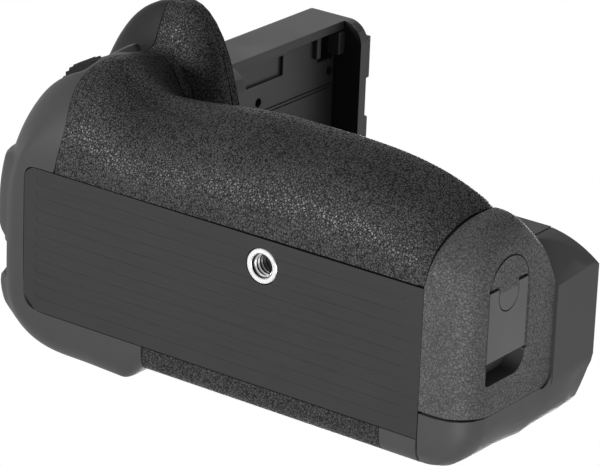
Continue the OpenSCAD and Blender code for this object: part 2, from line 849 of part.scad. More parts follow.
module stem_contact_pins() {
    color(brass_colour)
        for (k = [-1:1])
            translate([0, (contact_y0 + contact_y1) / 2 + k * contact_pitch, 0])
                box(stem_floor_x - 5.9, stem_floor_x - 3.4, -0.5, 0.5, stem_top - 9.3, stem_top - 4.7);
}

// Attachment screw, driven from the thumbwheel by three gears
gear_m = 1;
gear_z0 = wheel_z0 + wheel_h + 0.3;
gear_h = 0.262 * train_h;
pressure_angle = 25;
addendum = 0.8;
dedendum = 1.15;
backlash = 0.16;
post_r = 1.6;
screw_journal_r = 2.2;
screw_r = 2.5;
screw_collar_r = 3.7;
idler_at = [0, gear_m * (screw_teeth + idler_teeth) / 2];
mesh_wheel = gear_m * (wheel_teeth + idler_teeth) / 2;
wheel_y = back_face + 1.7 - wheel_r;
wheel_at = [sqrt(mesh_wheel * mesh_wheel - pow(wheel_y - idler_at[1], 2)), wheel_y];
idler_to_wheel = atan2(wheel_at[1] - idler_at[1], wheel_at[0] - idler_at[0]);
// The idler has a tooth on the line to the screw gear; the other two have a gap facing its teeth
idler_phase = -90;
screw_phase = 90 + 180 / screw_teeth;
idler_offset = (idler_to_wheel - idler_phase) % (360 / idler_teeth);
wheel_phase = idler_to_wheel + 180 + 180 / wheel_teeth + idler_offset * idler_teeth / wheel_teeth;

function involute(base, t) = [base * (cos(t) + t * PI / 180 * sin(t)), base * (sin(t) - t * PI / 180 * cos(t))];

module gear_profile(teeth) {
    pitch = gear_m * teeth / 2;
    base = pitch * cos(pressure_angle);
    tip = pitch + addendum * gear_m;
    root = pitch - dedendum * gear_m;
    flank_end = sqrt(tip * tip / (base * base) - 1) * 180 / PI;
    at_pitch = sqrt(pitch * pitch / (base * base) - 1) * 180 / PI;
    pitch_point = involute(base, at_pitch);
    half = (90 / teeth) - backlash / pitch * 90 / PI + atan2(pitch_point[1], pitch_point[0]);
    flank = [for (k = [0:4]) let (p = involute(base, flank_end * k / 4)) [norm(p), atan2(p[1], p[0]) - half]];
    side = concat([[root, flank[0][1] - 1.5]], flank);
    tooth = concat(side, [for (k = [len(side) - 1:-1:0]) [side[k][0], -side[k][1]]]);
    polygon([for (n = [0:teeth - 1], p = tooth) let (a = p[1] + n * 360 / teeth) p[0] * [cos(a), sin(a)]]);
}

module mounting_screw() {
    color(steel_colour) {
        rod_z(screw_journal_r, bay_z1 + 1.5, gear_z0 - 0.5);
        rod_z(screw_r, gear_z0 - 0.5, gear_z0 + gear_h + 0.2);
        rod_z(screw_collar_r, gear_z0 + gear_h + 0.2, body_h);
        rod_z(thread_r, body_h, body_h + screw_out - 0.7);
        translate([0, 0, body_h + screw_out - 0.7])
            cylinder(r1 = thread_r, r2 = thread_r - 0.7, h = 0.7);
    }
}

module screw_gear() {
    color(brass_colour)
        translate([0, 0, gear_z0])
            linear_extrude(gear_h)
                rotate(screw_phase)
                    difference() {
                        gear_profile(screw_teeth);
                        circle(screw_r + 0.01);
                    }
}

module idler_gear() {
    color(brass_colour)
        translate([idler_at[0], idler_at[1], gear_z0])
            linear_extrude(gear_h)
                rotate(idler_phase)
                    difference() {
                        gear_profile(idler_teeth);
                        circle(post_r + run_gap);
                    }
}

module idler_post() {
    color(steel_colour)
        translate(idler_at) {
            rod_z(post_r, bay_z1 + 1.25, deck_z0 - 0.1);
            difference() {
                rod_z(3, roof_z + 0.02, gear_z0 - 0.3);
                rod_z(post_r - 0.5, roof_z - 1, gear_z0);
            }
        }
}

knurl_count = 40;
knurl_d = 0.5;

module attachment_wheel() {
    color(inner_colour)
        translate(wheel_at) {
            translate([0, 0, wheel_z0])
                linear_extrude(wheel_h)
                    difference() {
                        circle(wheel_r);
                        for (k = [0:knurl_count - 1])
                            rotate(k * 360 / knurl_count)
                                translate([wheel_r + 0.2, 0])
                                    circle(knurl_d + 0.2, $fn = 6);
                        circle(post_r + run_gap);
                    }
            translate([0, 0, wheel_z0 + wheel_h])
                linear_extrude(gear_h + 0.3)
                    rotate(wheel_phase)
                        difference() {
                            gear_profile(wheel_teeth);
                            circle(post_r + run_gap);
                        }
        }
}

module wheel_post() {
    color(steel_colour)
        translate(wheel_at)
            rod_z(post_r, bay_z1 + 1.25, deck_z0 - 0.1);
}

// Shutter button, main dial and their bracket at the shutter end
dial_at = [-71.8, -19.8];
dial_z0 = 21;
dial_knurls = 36;
axle_r = 1.5;
bracket_z0 = 17.6;
bracket_t = 2;
arm_z0 = dial_z0 + dial_w + 1.6;
shutter_u = 0.775;
shutter_v = 1.46;
shutter_turn = 235;
shutter_stem_r = 2.2;
shutter_cap_h = 3.4;
shutter_out = 1.3;
shutter_at = envelope(shutter_u, shutter_v);
switch_depth = 9;

// Places a part with its own Z axis along the shutter button's outward axis
module shutter_place() {
    translate(shutter_at)
        rotate([0, 90, shutter_turn])
            children();
}

module control_bracket() {
    post = shutter_at - (switch_depth + 2.2) * [cos(shutter_turn), sin(shutter_turn), 0];
    color(inner_colour)
        difference() {
            union() {
                translate([0, 0, bracket_z0])
                    linear_extrude(bracket_t)
                        polygon([[chassis_x0 - 0.2, -16], [-70, -22.5], [-74, -20], [-77, -10], [-80, 2], [-80, 12],
                            [chassis_x0 - 0.2, 12]]);
                box(chassis_x0 - 2.2, chassis_x0 - 0.2, -22, 12, bracket_z0, roof_z);
                box(-67, chassis_x0 - 1, -22, -14, arm_z0, arm_z0 + bracket_t);
                translate([post[0], post[1], arm_z0])
                    rotate(shutter_turn)
                        box(-1.8, 1.8, -3, 3, 0, shutter_at[2] + 3 - arm_z0);
            }
            translate(dial_at)
                rod_z(axle_r, bracket_z0 - 1, bracket_z0 + bracket_t + 1);
        }
}

module shutter_button() {
    color(inner_colour)
        shutter_place() {
            rod_z(shutter_r, shutter_out - shutter_cap_h - 1.2, shutter_out - 0.5);
            translate([0, 0, shutter_out - 0.5])
                cylinder(r1 = shutter_r, r2 = shutter_r - 0.9, h = 0.5);
            rod_z(shutter_stem_r, -switch_depth + 1.4 + press_travel + 0.1, 0);
        }
}

module shutter_switch() {
    color(inner_colour)
        shutter_place() {
            box(-2.8, 2.8, -2.8, 2.8, -switch_depth - 0.35, -switch_depth + 0.8);
            rod_z(1.5, -switch_depth, -switch_depth + 1.4);
        }
}

module main_dial() {
    color(inner_colour)
        translate([dial_at[0], dial_at[1], dial_z0])
            linear_extrude(dial_w)
                difference() {
                    circle(dial_r);
                    for (k = [0:dial_knurls - 1])
                        rotate(k * 360 / dial_knurls)
                            translate([dial_r + 0.25, 0])
                                circle(0.8, $fn = 6);
                    circle(axle_r + run_gap);
                }
}

module dial_axle() {
    color(steel_colour)
        translate(dial_at) {
            rod_z(axle_r - 0.01, bracket_z0 + 0.1, dial_z0 + dial_w + 1.2);
            difference() {
                rod_z(2.6, bracket_z0 + bracket_t + 0.05, dial_z0 - 0.15);
                rod_z(axle_r - 0.5, bracket_z0, dial_z0);
            }
            rod_z(2.4, dial_z0 + dial_w + 0.2, dial_z0 + dial_w + 1.2);
        }
}

// Thumb buttons on the back, over their switch board
thumb_face = back_face + thumb_bulge;
thumb_flange_r = 4;
board_t = 1.6;
thumb_base = thumb_face - shell_t - 3.2;

module thumb_button(k) {
    color(inner_colour)
        translate([thumb_x[k], 0, thumb_z])
            rotate([-90, 0, 0]) {
                rod_z(thumb_r, thumb_base, thumb_face + 0.6);
                translate([0, 0, thumb_face + 0.6])
                    cylinder(r1 = thumb_r, r2 = thumb_r - 0.5, h = 0.4);
                rod_z(thumb_flange_r, thumb_base, thumb_base + 1.2);
            }
}

module af_on_button() {
    thumb_button(0);
}

module ae_lock_button() {
    thumb_button(1);
}

module af_point_button() {
    thumb_button(2);
}

module thumb_board() {
    y1 = thumb_base - press_travel - 0.1;
    color(board_colour)
        box(thumb_x[0] - 5, thumb_x[2] + 5, y1 - board_t, y1, thumb_z - 6, thumb_z + 6);
}

module power_lever() {
    color(inner_colour)
        translate(lever_at) {
            rod_x(lever_shaft_r, -lever_cap, shell_t + 1.4);
            rod_x(5, -lever_cap, -0.35);
            rotate([30, 0, 0])
                box(-lever_cap, -0.35, -1.6, 1.6, 0, 7.6);
        }
}

module power_switch() {
    color(inner_colour)
        translate(lever_at)
            box(shell_t + 1.7, shell_t + 6, -4, 4, -4, 4);
}

module control_board() {
    y0 = bay_y1 + bay_wall + 0.3;
    color(board_colour)
        box(-48, 30, y0, y0 + board_t, floor_z + 2, roof_z - 2);
}

// Hand-strap anchor at the bottom of the shutter end
strap_bar_r = 1.3;

strap_bar_x = strap_x + 0.3;
strap_floor_x = strap_bar_x + strap_bar_r + 2.7;

module strap_bracket() {
    color(inner_colour)
        difference() {
            union() {
                box(strap_floor_x, strap_floor_x + 1.6, strap_y0 - 1.6, strap_y1 + 1.6, 4, strap_z1 + 2);
                for (y = [strap_y0 - 1.6, strap_y1 + 0.2])
                    box(strap_bar_x - 1.5, strap_floor_x + 1, y, y + 1.4, 9, strap_z1 - 1);
            }
            strap_bar_place()
                rod_z(strap_bar_r, strap_y0 - 1.2, strap_y1 + 1.2);
        }
}

module strap_bar_place() {
    translate([strap_bar_x, 0, strap_z1 - 4])
        rotate([-90, 0, 0])
            children();
}

module strap_bar() {
    color(steel_colour)
        strap_bar_place()
            rod_z(strap_bar_r - 0.02, strap_y0 - 1.15, strap_y1 + 1.15);
}

// Battery magazine
tray_x0 = bay_x0 + 2.4;
tray_x1 = tray_x0 + 2 * pack_l + 3 * tray_wall + 0.8;
pack_gap = 0.2;
pack_h = 19.6;
contact_z = bay_z0 + 8;

module bay_contacts() {
    color(brass_colour)
        for (y = [bay_y0 + 8, bay_y0 + 14, bay_y1 - 14])
            box(bay_x0 + 0.02, bay_x0 + 0.9, y, y + 2.5, contact_z, contact_z + 8);
}

module pack_space(k, gap) {
    x0 = tray_x0 + tray_wall + k * (pack_l + tray_wall + 0.4);
    z0 = bay_z0 + slide_gap + tray_wall + 0.8;
    difference() {
        box(x0 - gap, x0 + pack_l + gap, bay_y0 + slide_gap + tray_wall - gap + 0.3, bay_y1 - slide_gap - tray_wall + gap - 0.3,
            z0 - gap, z0 + pack_h + gap);
        // The lower front edge is cut away to key the pack
        translate([x0 - 1, bay_y0 + slide_gap, bay_z0 + slide_gap])
            rotate([-45, 0, 0])
                box(0, pack_l + 2, -8, 8, -4, 3.9 - gap);
        translate([x0 - 1, bay_y0 + slide_gap, bay_z1 - slide_gap])
            rotate([45, 0, 0])
                box(0, pack_l + 2, -8, 8, -5.3 + gap, 4);
    }
}

module magazine_tray() {
    color(inner_colour)
        difference() {
            along_x(tray_x0, tray_x1)
                bay_profile(-slide_gap);
            for (k = [0, 1]) {
                pack_space(k, pack_gap);
                // The packs lift out through the open top
                x0 = tray_x0 + tray_wall + k * (pack_l + tray_wall + 0.4);
                box(x0 - pack_gap, x0 + pack_l + pack_gap, bay_y0 + slide_gap + tray_wall + 0.1,
                    bay_y1 - slide_gap - tray_wall - 0.1, bay_z0 + 10, bay_z1 + 1);
            }
            for (y = [bay_y0 + 8, bay_y0 + 14, bay_y1 - 14])
                box(tray_x0 - 1, tray_x0 + 0.5, y - 0.2, y + 2.7, contact_z - 0.2, contact_z + 8.2);
        }
}

module battery_pack(k) {
    color(pack_colour)
        difference() {
            pack_space(k, 0);
            x0 = tray_x0 + tray_wall + k * (pack_l + tray_wall + 0.4);
            for (y = [-6, 0, 6])
                box(x0 - 1, x0 + 0.8, y + 2, y + 5, bay_z0 + 14, bay_z0 + 19);
        }
}

module inner_battery_pack() {
    battery_pack(0);
}

module outer_battery_pack() {
    battery_pack(1);
}

module magazine_contacts() {
    color(brass_colour)
        for (y = [bay_y0 + 8, bay_y0 + 14, bay_y1 - 14])
            box(tray_x0 - 1.2, tray_x0 + 0.48, y, y + 2.5, contact_z, contact_z + 8);
}

backplate_x1 = plate_right + 0.2;
backplate_x0 = tray_x1 + 0.05;

module door_backplate() {
    color(inner_colour)
        difference() {
            union() {
                along_x(keeper_x1 + 0.2, backplate_x1)
                    bay_profile(-slide_gap);
                // Side cheeks that join the plate to the tray and leave room for the cam
                box(backplate_x0, keeper_x1 + 0.3, bay_y1 - slide_gap - 5, bay_y1 - slide_gap,
                    bay_z0 + slide_gap, bay_z1 - slide_gap);
                box(backplate_x0, keeper_x1 + 0.3, bay_y0 + slide_gap, bay_y0 + 6, latch_z + 6, latch_z + 10);
            }
            translate([0, -latch_front, latch_z])
                rod_x(shaft_r + run_gap, 0, 80);
        }
}

// Magazine door: the bulge's section drawn in towards a flat end face
door_steps = 8;
door_points = 14;
door_x0 = plate_right + 0.3;
top_front = 10.4;

function door_section(inset, x) =
    let (lower = [for (k = [0:door_points]) let (a = 90 * k / door_points)
            [-plate_front - (door_depth - plate_front - inset) * sin(a), inset + (crest_z - inset) * (1 - cos(a))]],
        upper = [for (k = [1:6]) let (z = mix(crest_z, door_top, k / 6))
            [-mix(top_front - inset * 0.3, door_depth - inset, 1 - smooth((z - crest_z) / (groove_top - crest_z))), z]])
    [for (p = concat([[door_back, door_top], [door_back, inset]], lower, upper))
        [x + (x < plate_right + 4 ? (seam_x(p[1]) - plate_right) * (p[0] < -plate_front ? 1 : 0) : 0), p[0], p[1]]];

module door_form() {
    sections = concat([door_section(0, door_x0)], [for (k = [0:door_steps]) let (a = 90 * k / door_steps)
        door_section(end_round * (1 - cos(a)), door_end - end_round + end_round * sin(a))]);
    n = len(sections[0]);
    m = len(sections);
    points = concat([for (s = sections) each s], [[door_x0 + front_end_lean, 0, latch_z]]);
    sides = [for (j = [0:m - 2], i = [0:n - 1]) let (a = j * n + i, b = j * n + (i + 1) % n) each
        [[a, b, a + n], [b, b + n, a + n]]];
    inner = [for (i = [0:n - 1]) [(i + 1) % n, i, m * n]];
    outer = [[for (i = [0:n - 1]) (m - 1) * n + i]];
    polyhedron(points, concat(sides, inner, outer), convexity = 4);
}

lever_gap = 0.3;
lever_half = latch_r;
pocket_d = 3;
scoop_l = 5.6;
scoop_d = 5;
latch_y = -latch_front;
lever_tip = latch_y + lever_l;

module magazine_door() {
    color(rubber_colour)
        difference() {
            door_form();
            door_slope_cut(0);
            translate([0, latch_y, latch_z]) {
                // Seat of the turning disc and its shaft
                rod_x(latch_r + 0.3, door_end - 6.3, door_end + 1);
                rod_x(shaft_r + run_gap, 0, 80);
                // Eased edge that the lever's side turns over
                intersection() {
                    translate([door_end - 2, 0, 0])
                        rotate([0, 90, 0])
                            cylinder(r1 = latch_r + 0.3, r2 = latch_r + 1.3, h = 2.1);
                    box(door_end - 3, door_end + 1, -5, 0.1, 5, 12);
                }
            }
            // Lever pocket, sloped on the side that the lever turns to
            along_y(latch_y, lever_tip + lever_gap)
                polygon([[door_end - pocket_d, latch_z - lever_half - lever_gap],
                    [door_end + 1, latch_z - lever_half - lever_gap],
                    [door_end + 1, latch_z + lever_half + lever_gap + pocket_d + 1],
                    [door_end - pocket_d, latch_z + lever_half + lever_gap]]);
            // Finger scoop below the lever's tip
            along_y(lever_tip - 3, lever_tip + scoop_l)
                polygon([[door_end - scoop_d, latch_z - lever_half + 0.4], [door_end + 1, latch_z - lever_half - 0.2],
                    [door_end + 1, latch_z + lever_half - 2.4], [door_end - scoop_d, latch_z + lever_half - 3.6]]);
        }
}

module latch_barrel() {
    lowered = door_end - lever_t - 0.3;
    color(rubber_colour)
        difference() {
            translate([0, latch_y, latch_z])
                union() {
                    rod_x(latch_r, door_end - 6, door_end - 0.05);
                    rod_x(shaft_r, keeper_x0 - 2, door_end - 5);
                    // Tongue beside the hinge
                    box(lowered - 1, door_end - 0.05, 0, 5 - tongue_w / 2 + 0.5, -tongue_w / 2, tongue_w / 2);
                    translate([0, 5 - tongue_w / 2 + 0.5, 0])
                        rod_x(tongue_w / 2, lowered - 1, door_end - 0.05);
                }
            difference() {
                box(lowered, door_end + 1, latch_y - 1.7, latch_y + 20, latch_z - 20, latch_z + 20);
                translate([0, latch_y, latch_z]) {
                    box(lowered - 2, door_end + 2, -3, 5 - tongue_w / 2 + 0.5, -tongue_w / 2, tongue_w / 2);
                    translate([0, 5 - tongue_w / 2 + 0.5, 0])
                        rod_x(tongue_w / 2, lowered - 2, door_end + 2);
                }
            }
            hinge_place()
                rod_z(hinge_r, -20, 20);
            translate([0, latch_y, latch_z])
                rod_x(0.9, keeper_x0 - 3, keeper_x0 + 6);
        }
}

hinge_x = door_end - 0.05 - lever_t / 2;

module hinge_place() {
    translate([hinge_x, latch_y, latch_z])
        children();
}

module latch_hinge_pin() {
    color(steel_colour)
        hinge_place()
            rod_z(hinge_r - 0.01, -lever_half + 0.6, lever_half - 0.6);
}

module latch_lever() {
    x0 = door_end - 0.05 - lever_t;
    notch = tongue_w / 2 + 0.3;
    color(shell_colour)
        difference() {
            box(x0, door_end - 0.05, latch_y - 0.8, lever_tip, latch_z - lever_half, latch_z + lever_half);
            // Room for the tongue
            box(x0 - 1, door_end + 1, latch_y - 2, latch_y + 5 - tongue_w / 2 + 0.5, latch_z - notch, latch_z + notch);
            translate([0, latch_y + 5 - tongue_w / 2 + 0.5, latch_z])
                rod_x(notch, x0 - 1, door_end + 1);
            hinge_place()
                rod_z(hinge_r + run_gap, -20, 20);
            // Bevelled tip
            translate([door_end, lever_tip, 0])
                rotate([0, 0, 40])
                    box(-6, 1.2, -0.3, 3, 0, 60);
        }
}

cam_t = 2;
cam_l = latch_z - floor_z + 0.2;

module latch_cam() {
    color(steel_colour)
        translate([keeper_x0 + 0.4, latch_y, latch_z])
            rotate([90, 0, 90])
                linear_extrude(cam_t)
                    difference() {
                        union() {
                            circle(5);
                            translate([-2.6, -cam_l])
                                square([5.2, cam_l]);
                        }
                        circle(shaft_r + 0.01);
                    }
}

module cam_screw() {
    color(steel_colour)
        translate([0, latch_y, latch_z])
            difference() {
                union() {
                    rod_x(2.6, keeper_x0 - 3.2, keeper_x0 - 2.05);
                    rod_x(0.88, keeper_x0 - 2.2, keeper_x0 + 5.5);
                }
                for (a = [0, 90])
                    rotate([a, 0, 0])
                        box(keeper_x0 - 4, keeper_x0 - 2.7, -1.6, 1.6, -0.25, 0.25);
            }
}

chassis();
base_plate();
tripod_socket();
front_shell();
front_grip_rubber();
hump_grip_rubber();
shutter_end_cover();
rear_shell();
rear_grip_rubber();
end_housing();
top_deck();
deck_screws();
locating_pins();
stem_shell();
stem_back_cover();
stem_screws();
stem_contact_block();
stem_contact_pins();
mounting_screw();
screw_gear();
idler_gear();
idler_post();
attachment_wheel();
wheel_post();
control_bracket();
shutter_button();
shutter_switch();
main_dial();
dial_axle();
af_on_button();
ae_lock_button();
af_point_button();
thumb_board();
power_lever();
power_switch();
control_board();
strap_bracket();
strap_bar();
bay_contacts();
magazine_tray();
inner_battery_pack();
outer_battery_pack();
magazine_contacts();
door_backplate();
magazine_door();
latch_barrel();
latch_cam();
cam_screw();
latch_hinge_pin();
latch_lever();
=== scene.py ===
"""Looks of a camera battery grip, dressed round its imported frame.

Sizes in the classes are in millimetres, as in the part's own source. Meshes are in metres.
"""
from __future__ import annotations

import json
import logging
import math
from dataclasses import dataclass, field
from enum import Enum
from typing import Any, Callable, Iterable, Sequence

import bmesh
import bpy
from mathutils import Matrix, Vector

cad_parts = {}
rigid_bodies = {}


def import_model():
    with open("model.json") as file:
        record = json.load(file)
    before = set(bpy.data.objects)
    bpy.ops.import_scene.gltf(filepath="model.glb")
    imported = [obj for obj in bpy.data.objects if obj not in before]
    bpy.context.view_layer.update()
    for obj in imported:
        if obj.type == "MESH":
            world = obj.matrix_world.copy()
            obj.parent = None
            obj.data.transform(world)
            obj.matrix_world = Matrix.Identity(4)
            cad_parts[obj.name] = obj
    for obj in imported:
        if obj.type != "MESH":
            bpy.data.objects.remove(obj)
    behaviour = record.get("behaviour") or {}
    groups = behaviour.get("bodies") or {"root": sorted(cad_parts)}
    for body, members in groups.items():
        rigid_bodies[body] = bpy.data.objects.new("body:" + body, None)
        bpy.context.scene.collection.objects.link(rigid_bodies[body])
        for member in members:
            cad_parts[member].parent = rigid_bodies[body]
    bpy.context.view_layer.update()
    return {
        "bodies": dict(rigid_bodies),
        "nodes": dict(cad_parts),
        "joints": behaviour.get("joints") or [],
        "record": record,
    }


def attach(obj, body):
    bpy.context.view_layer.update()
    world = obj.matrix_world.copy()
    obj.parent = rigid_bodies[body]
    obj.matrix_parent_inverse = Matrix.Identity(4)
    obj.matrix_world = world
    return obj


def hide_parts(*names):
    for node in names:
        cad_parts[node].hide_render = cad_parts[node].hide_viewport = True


LOG = logging.getLogger("battery_grip")
MM = 0.001

# Short names of types
Pair = tuple[float, float]
Triple = tuple[float, float, float]
Colour = Triple
Mesh = bmesh.types.BMesh
Piece = bpy.types.Object
Socket = bpy.types.NodeSocket
Inputs = dict[str | int, Any]


class Slot(Enum):
    """Material slots of the part's record."""

    RUBBER = "rubber"
    SHELL = "shell"
    PLATE = "plate"
    INNER = "inner"
    STEEL = "steel"
    BRASS = "brass"
    BOARD = "board"
    PACK = "pack"


def mix(a: float, b: float, t: float) -> float:
    """Straight blend from a to b."""
    return a + (b - a) * t


def smooth(t: float) -> float:
    """Eased blend factor, held between 0 and 1."""
    t = min(1.0, max(0.0, t))
    return t * t * (3.0 - 2.0 * t)


def step(t: float, low: float, high: float) -> float:
    """Eased step from 0 at low to 1 at high."""
    return smooth((t - low) / (high - low))


def window(t: float, low: float, high: float, rise: float, fall: float = 0.0) -> float:
    """Rises from 0 at low to 1, and falls to 0 at high, over the same length where no fall is given."""
    return smooth((t - low) / rise) * smooth((high - t) / (fall or rise))


def settle(target: Any, **settings: Any) -> Any:
    """Sets attributes of a Blender item and returns it."""
    for name, setting in settings.items():
        setattr(target, name, setting)
    return target


def sin_deg(angle: float) -> float:
    """Sine of an angle in degrees."""
    return math.sin(math.radians(angle))


def cos_deg(angle: float) -> float:
    """Cosine of an angle in degrees, never below zero for a right angle."""
    return max(0.0, math.cos(math.radians(angle)))


# Shader graphs


class Value:
    """A shader socket that takes part in Python arithmetic."""

    def __init__(self, graph: Graph, socket: Socket) -> None:
        """Keeps the socket and the graph that it belongs to."""
        self.graph = graph
        self.socket = socket

    def _math(self, operation: str, first: Any, second: Any) -> Value:
        """Adds a Math node and returns its result."""
        return self.graph.value("Math", "Value", {0: first, 1: second}, operation=operation)

    def __add__(self, other: Any) -> Value:
        """Sum."""
        return self._math("ADD", self, other)

    __radd__ = __add__

    def __sub__(self, other: Any) -> Value:
        """Difference."""
        return self._math("SUBTRACT", self, other)

    def __rsub__(self, other: Any) -> Value:
        """Reflected difference."""
        return self._math("SUBTRACT", other, self)

    def __mul__(self, other: Any) -> Value:
        """Product."""
        return self._math("MULTIPLY", self, other)

    __rmul__ = __mul__

    def ramp(self, low: float, high: float) -> Value:
        """Smooth step from 0 at low to 1 at high."""
        return self.graph.value("MapRange", "Result", {"Value": self, "From Min": low, "From Max": high},
                                interpolation_type="SMOOTHSTEP")


class Graph:
    """Node tree of one material or of the world."""

    def __init__(self, owner: bpy.types.Material | bpy.types.World) -> None:
        """Empties the owner's node tree and keeps it."""
        owner.use_nodes = True
        self.tree = owner.node_tree
        self.tree.nodes.clear()

    def node(self, kind: str, inputs: Inputs | None = None, **settings: Any) -> bpy.types.Node:
        """Adds any shader node.

        Args:
            kind: the node's type, without the prefix that all of them share.
            inputs: values or links of its sockets, by name or index.
            settings: attributes, set before the sockets.

        Returns:
            The new node.
        """
        node = settle(self.tree.nodes.new(f"ShaderNode{kind}"), **settings)
        for key, given in (inputs or {}).items():
            given = given.socket if isinstance(given, Value) else given
            if isinstance(given, Socket):
                self.tree.links.new(given, node.inputs[key])
            else:
                node.inputs[key].default_value = given
        return node

    def value(self, kind: str, output: str | int, inputs: Inputs | None = None, **settings: Any) -> Value:
        """Adds a node and wraps one of its outputs."""
        return Value(self, self.node(kind, inputs, **settings).outputs[output])

    def place(self, size: float, stretch: Triple = (1.0, 1.0, 1.0)) -> Value:
        """Object coordinates with a pattern's feature size, in millimetres, as the unit."""
        coords = self.node("TexCoord").outputs["Object"]
        scale = tuple(1.0 / (size * MM * s) for s in stretch)
        return self.value("Mapping", "Vector", {"Vector": coords, "Scale": scale})

    def height(self) -> Value:
        """Height above the base, in millimetres."""
        return self.value("SeparateXYZ", "Z", {0: self.place(1.0)})

    def noise(self, size: float, detail: float = 2.0, rough: float = 0.5,
              stretch: Triple = (1.0, 1.0, 1.0)) -> Value:
        """Noise with a feature size in millimetres."""
        return self.value("TexNoise", "Fac", {"Vector": self.place(size, stretch), "Scale": 1.0,
                                              "Detail": detail, "Roughness": rough})

    def blend(self, factor: Any, first: Colour, second: Colour) -> Value:
        """Mix of two colours, through the node's colour sockets."""
        return self.value("Mix", 2, {0: factor, 6: (*first, 1.0), 7: (*second, 1.0)}, data_type="RGBA")

    def bump(self, height: Value, depth: float, strength: float = 1.0) -> Value:
        """Bump node for a relief of the given depth in millimetres."""
        return self.value("Bump", "Normal", {"Height": height, "Distance": depth * MM, "Strength": strength})

    def bent(self, place: Value, amount: float) -> Value:
        """Coordinates pushed about by noise, by the given share of a unit."""
        push = self.value("TexNoise", "Color", {"Vector": place, "Scale": 1.1, "Detail": 1.0})
        return self.value("VectorMath", "Vector", {0: push, 1: (amount, amount, amount), 2: place},
                          operation="MULTIPLY_ADD")

    def cells(self, place: Value) -> Value:
        """Distance from the borders of a pattern of cells."""
        return self.value("TexVoronoi", "Distance", {"Vector": place, "Scale": 1.0}, feature="DISTANCE_TO_EDGE")

    def shader(self, colour: Any, rough: Any, more: Inputs) -> Socket:
        """A Principled shader's output."""
        return self.node("BsdfPrincipled", {"Base Color": colour, "Roughness": rough, **more}).outputs["BSDF"]

    def mixed(self, factor: Any, first: Socket, second: Socket) -> Socket:
        """Mix of two shaders."""
        return self.node("MixShader", {0: factor, 1: first, 2: second}).outputs[0]

    def end(self, shader: Socket, kind: str = "OutputMaterial") -> None:
        """Ends the graph with a shader."""
        self.node(kind, {"Surface": shader})


# Finishes


@dataclass(frozen=True)
class Finish:
    """A surface finish with the record's slot that it belongs to."""

    name: str
    slot: Slot
    colour: Colour
    rough: float = 0.5

    def material(self) -> bpy.types.Material:
        """The material of this finish, made once."""
        known = bpy.data.materials.get(self.name)
        if known is not None:
            return known
        made = bpy.data.materials.new(self.name)
        made.diffuse_color = (*self.colour, 1.0)
        self.paint(Graph(made))
        return made

    def paint(self, graph: Graph) -> None:
        """Fills the material's node tree."""
        raise NotImplementedError

    def tone(self, factor: float) -> Colour:
        """The finish's colour, lighter or darker."""
        return tuple(min(1.0, c * factor) for c in self.colour)


@dataclass(frozen=True)
class Pebbled(Finish):
    """Grip rubber and grained plastic: pebbles with lighter tops and painted shade in their creases, the tops
    partly lighter from wear.
    """

    grain: float = 0.75
    depth: float = 0.06
    crease: float = 0.18
    crease_shade: float = 0.25
    shine: float = 0.17
    lit_below: float = 0.0

    def paint(self, graph: Graph) -> None:
        """Bent cells with painted shade in the creases between them, a finer grain, slow changes of tone and a
        painted highlight along the lower edge, where one is given.
        """
        edge = graph.cells(graph.bent(graph.place(self.grain), 1.6))
        fine = graph.noise(self.grain * 0.5, 2.0, 0.6)
        drift = graph.noise(14.0, 3.0, 0.6)
        dome = edge.ramp(0.0, 0.3)
        # lighter crowns and darker creases are painted shade of the relief, partly wear; the finer grain and slow
        # tone changes are the rubber's own
        tone_light_and_shade = 0.2 + 0.45 * dome + 0.8 * (fine - 0.5) + 0.7 * (drift - 0.5)
        # painted highlight: lighter towards the base, where the lamps light the bulge
        if self.lit_below:
            tone_light_and_shade = tone_light_and_shade + 0.3 * (1 - graph.height().ramp(0.3 * self.lit_below, self.lit_below))
        colour = graph.blend(tone_light_and_shade, self.tone(0.45), self.tone(1.55))
        relief = graph.bump(dome + 0.5 * fine, self.depth)
        top = graph.shader(colour, self.rough + 0.3 * (0.5 - fine),
                           {"Normal": relief, "Specular IOR Level": self.shine})
        # a dark, dull shader in the creases: painted shade
        crease_shade = graph.shader((*self.tone(self.crease_shade), 1.0), 0.9, {"Specular IOR Level": 0.05})
        graph.end(graph.mixed((edge + 0.3 * (fine - 0.5)).ramp(0.0, self.crease), crease_shade, top))


@dataclass(frozen=True)
class Moulded(Finish):
    """Moulded plastic with a fine spark-eroded grain."""

    grain: float = 0.22
    depth: float = 0.012
    mottle: float = 0.16
    shine: float = 0.4
    shade_above: float = 0.0

    def paint(self, graph: Graph) -> None:
        """Fine grain, cloudy tone and a few rubbed patches, with painted shade over the upper end where one is
        given.
        """
        grain = graph.noise(self.grain, 2.0, 0.6)
        cloud = graph.noise(9.0, 3.0, 0.6)
        rubbed = graph.noise(26.0, 2.0).ramp(0.45, 0.75)
        tone = 0.5 + self.mottle * 4.0 * (grain - 0.5) + 0.5 * (cloud - 0.5)
        colour = graph.blend(tone, self.tone(1.0 - self.mottle), self.tone(1.0 + self.mottle))
        # painted shade: the upper end darker, as it faces away from the lamps
        if self.shade_above:
            shade = 1 - 0.7 * graph.height().ramp(self.shade_above, self.shade_above + 8.0)
            colour = graph.value("VectorMath", "Vector", {0: colour, "Scale": shade}, operation="SCALE")
        rough = self.rough + 0.10 * (grain - 0.5) - 0.08 * rubbed
        relief = graph.bump(grain, self.depth)
        graph.end(graph.shader(colour, rough, {"Normal": relief, "Specular IOR Level": self.shine}))


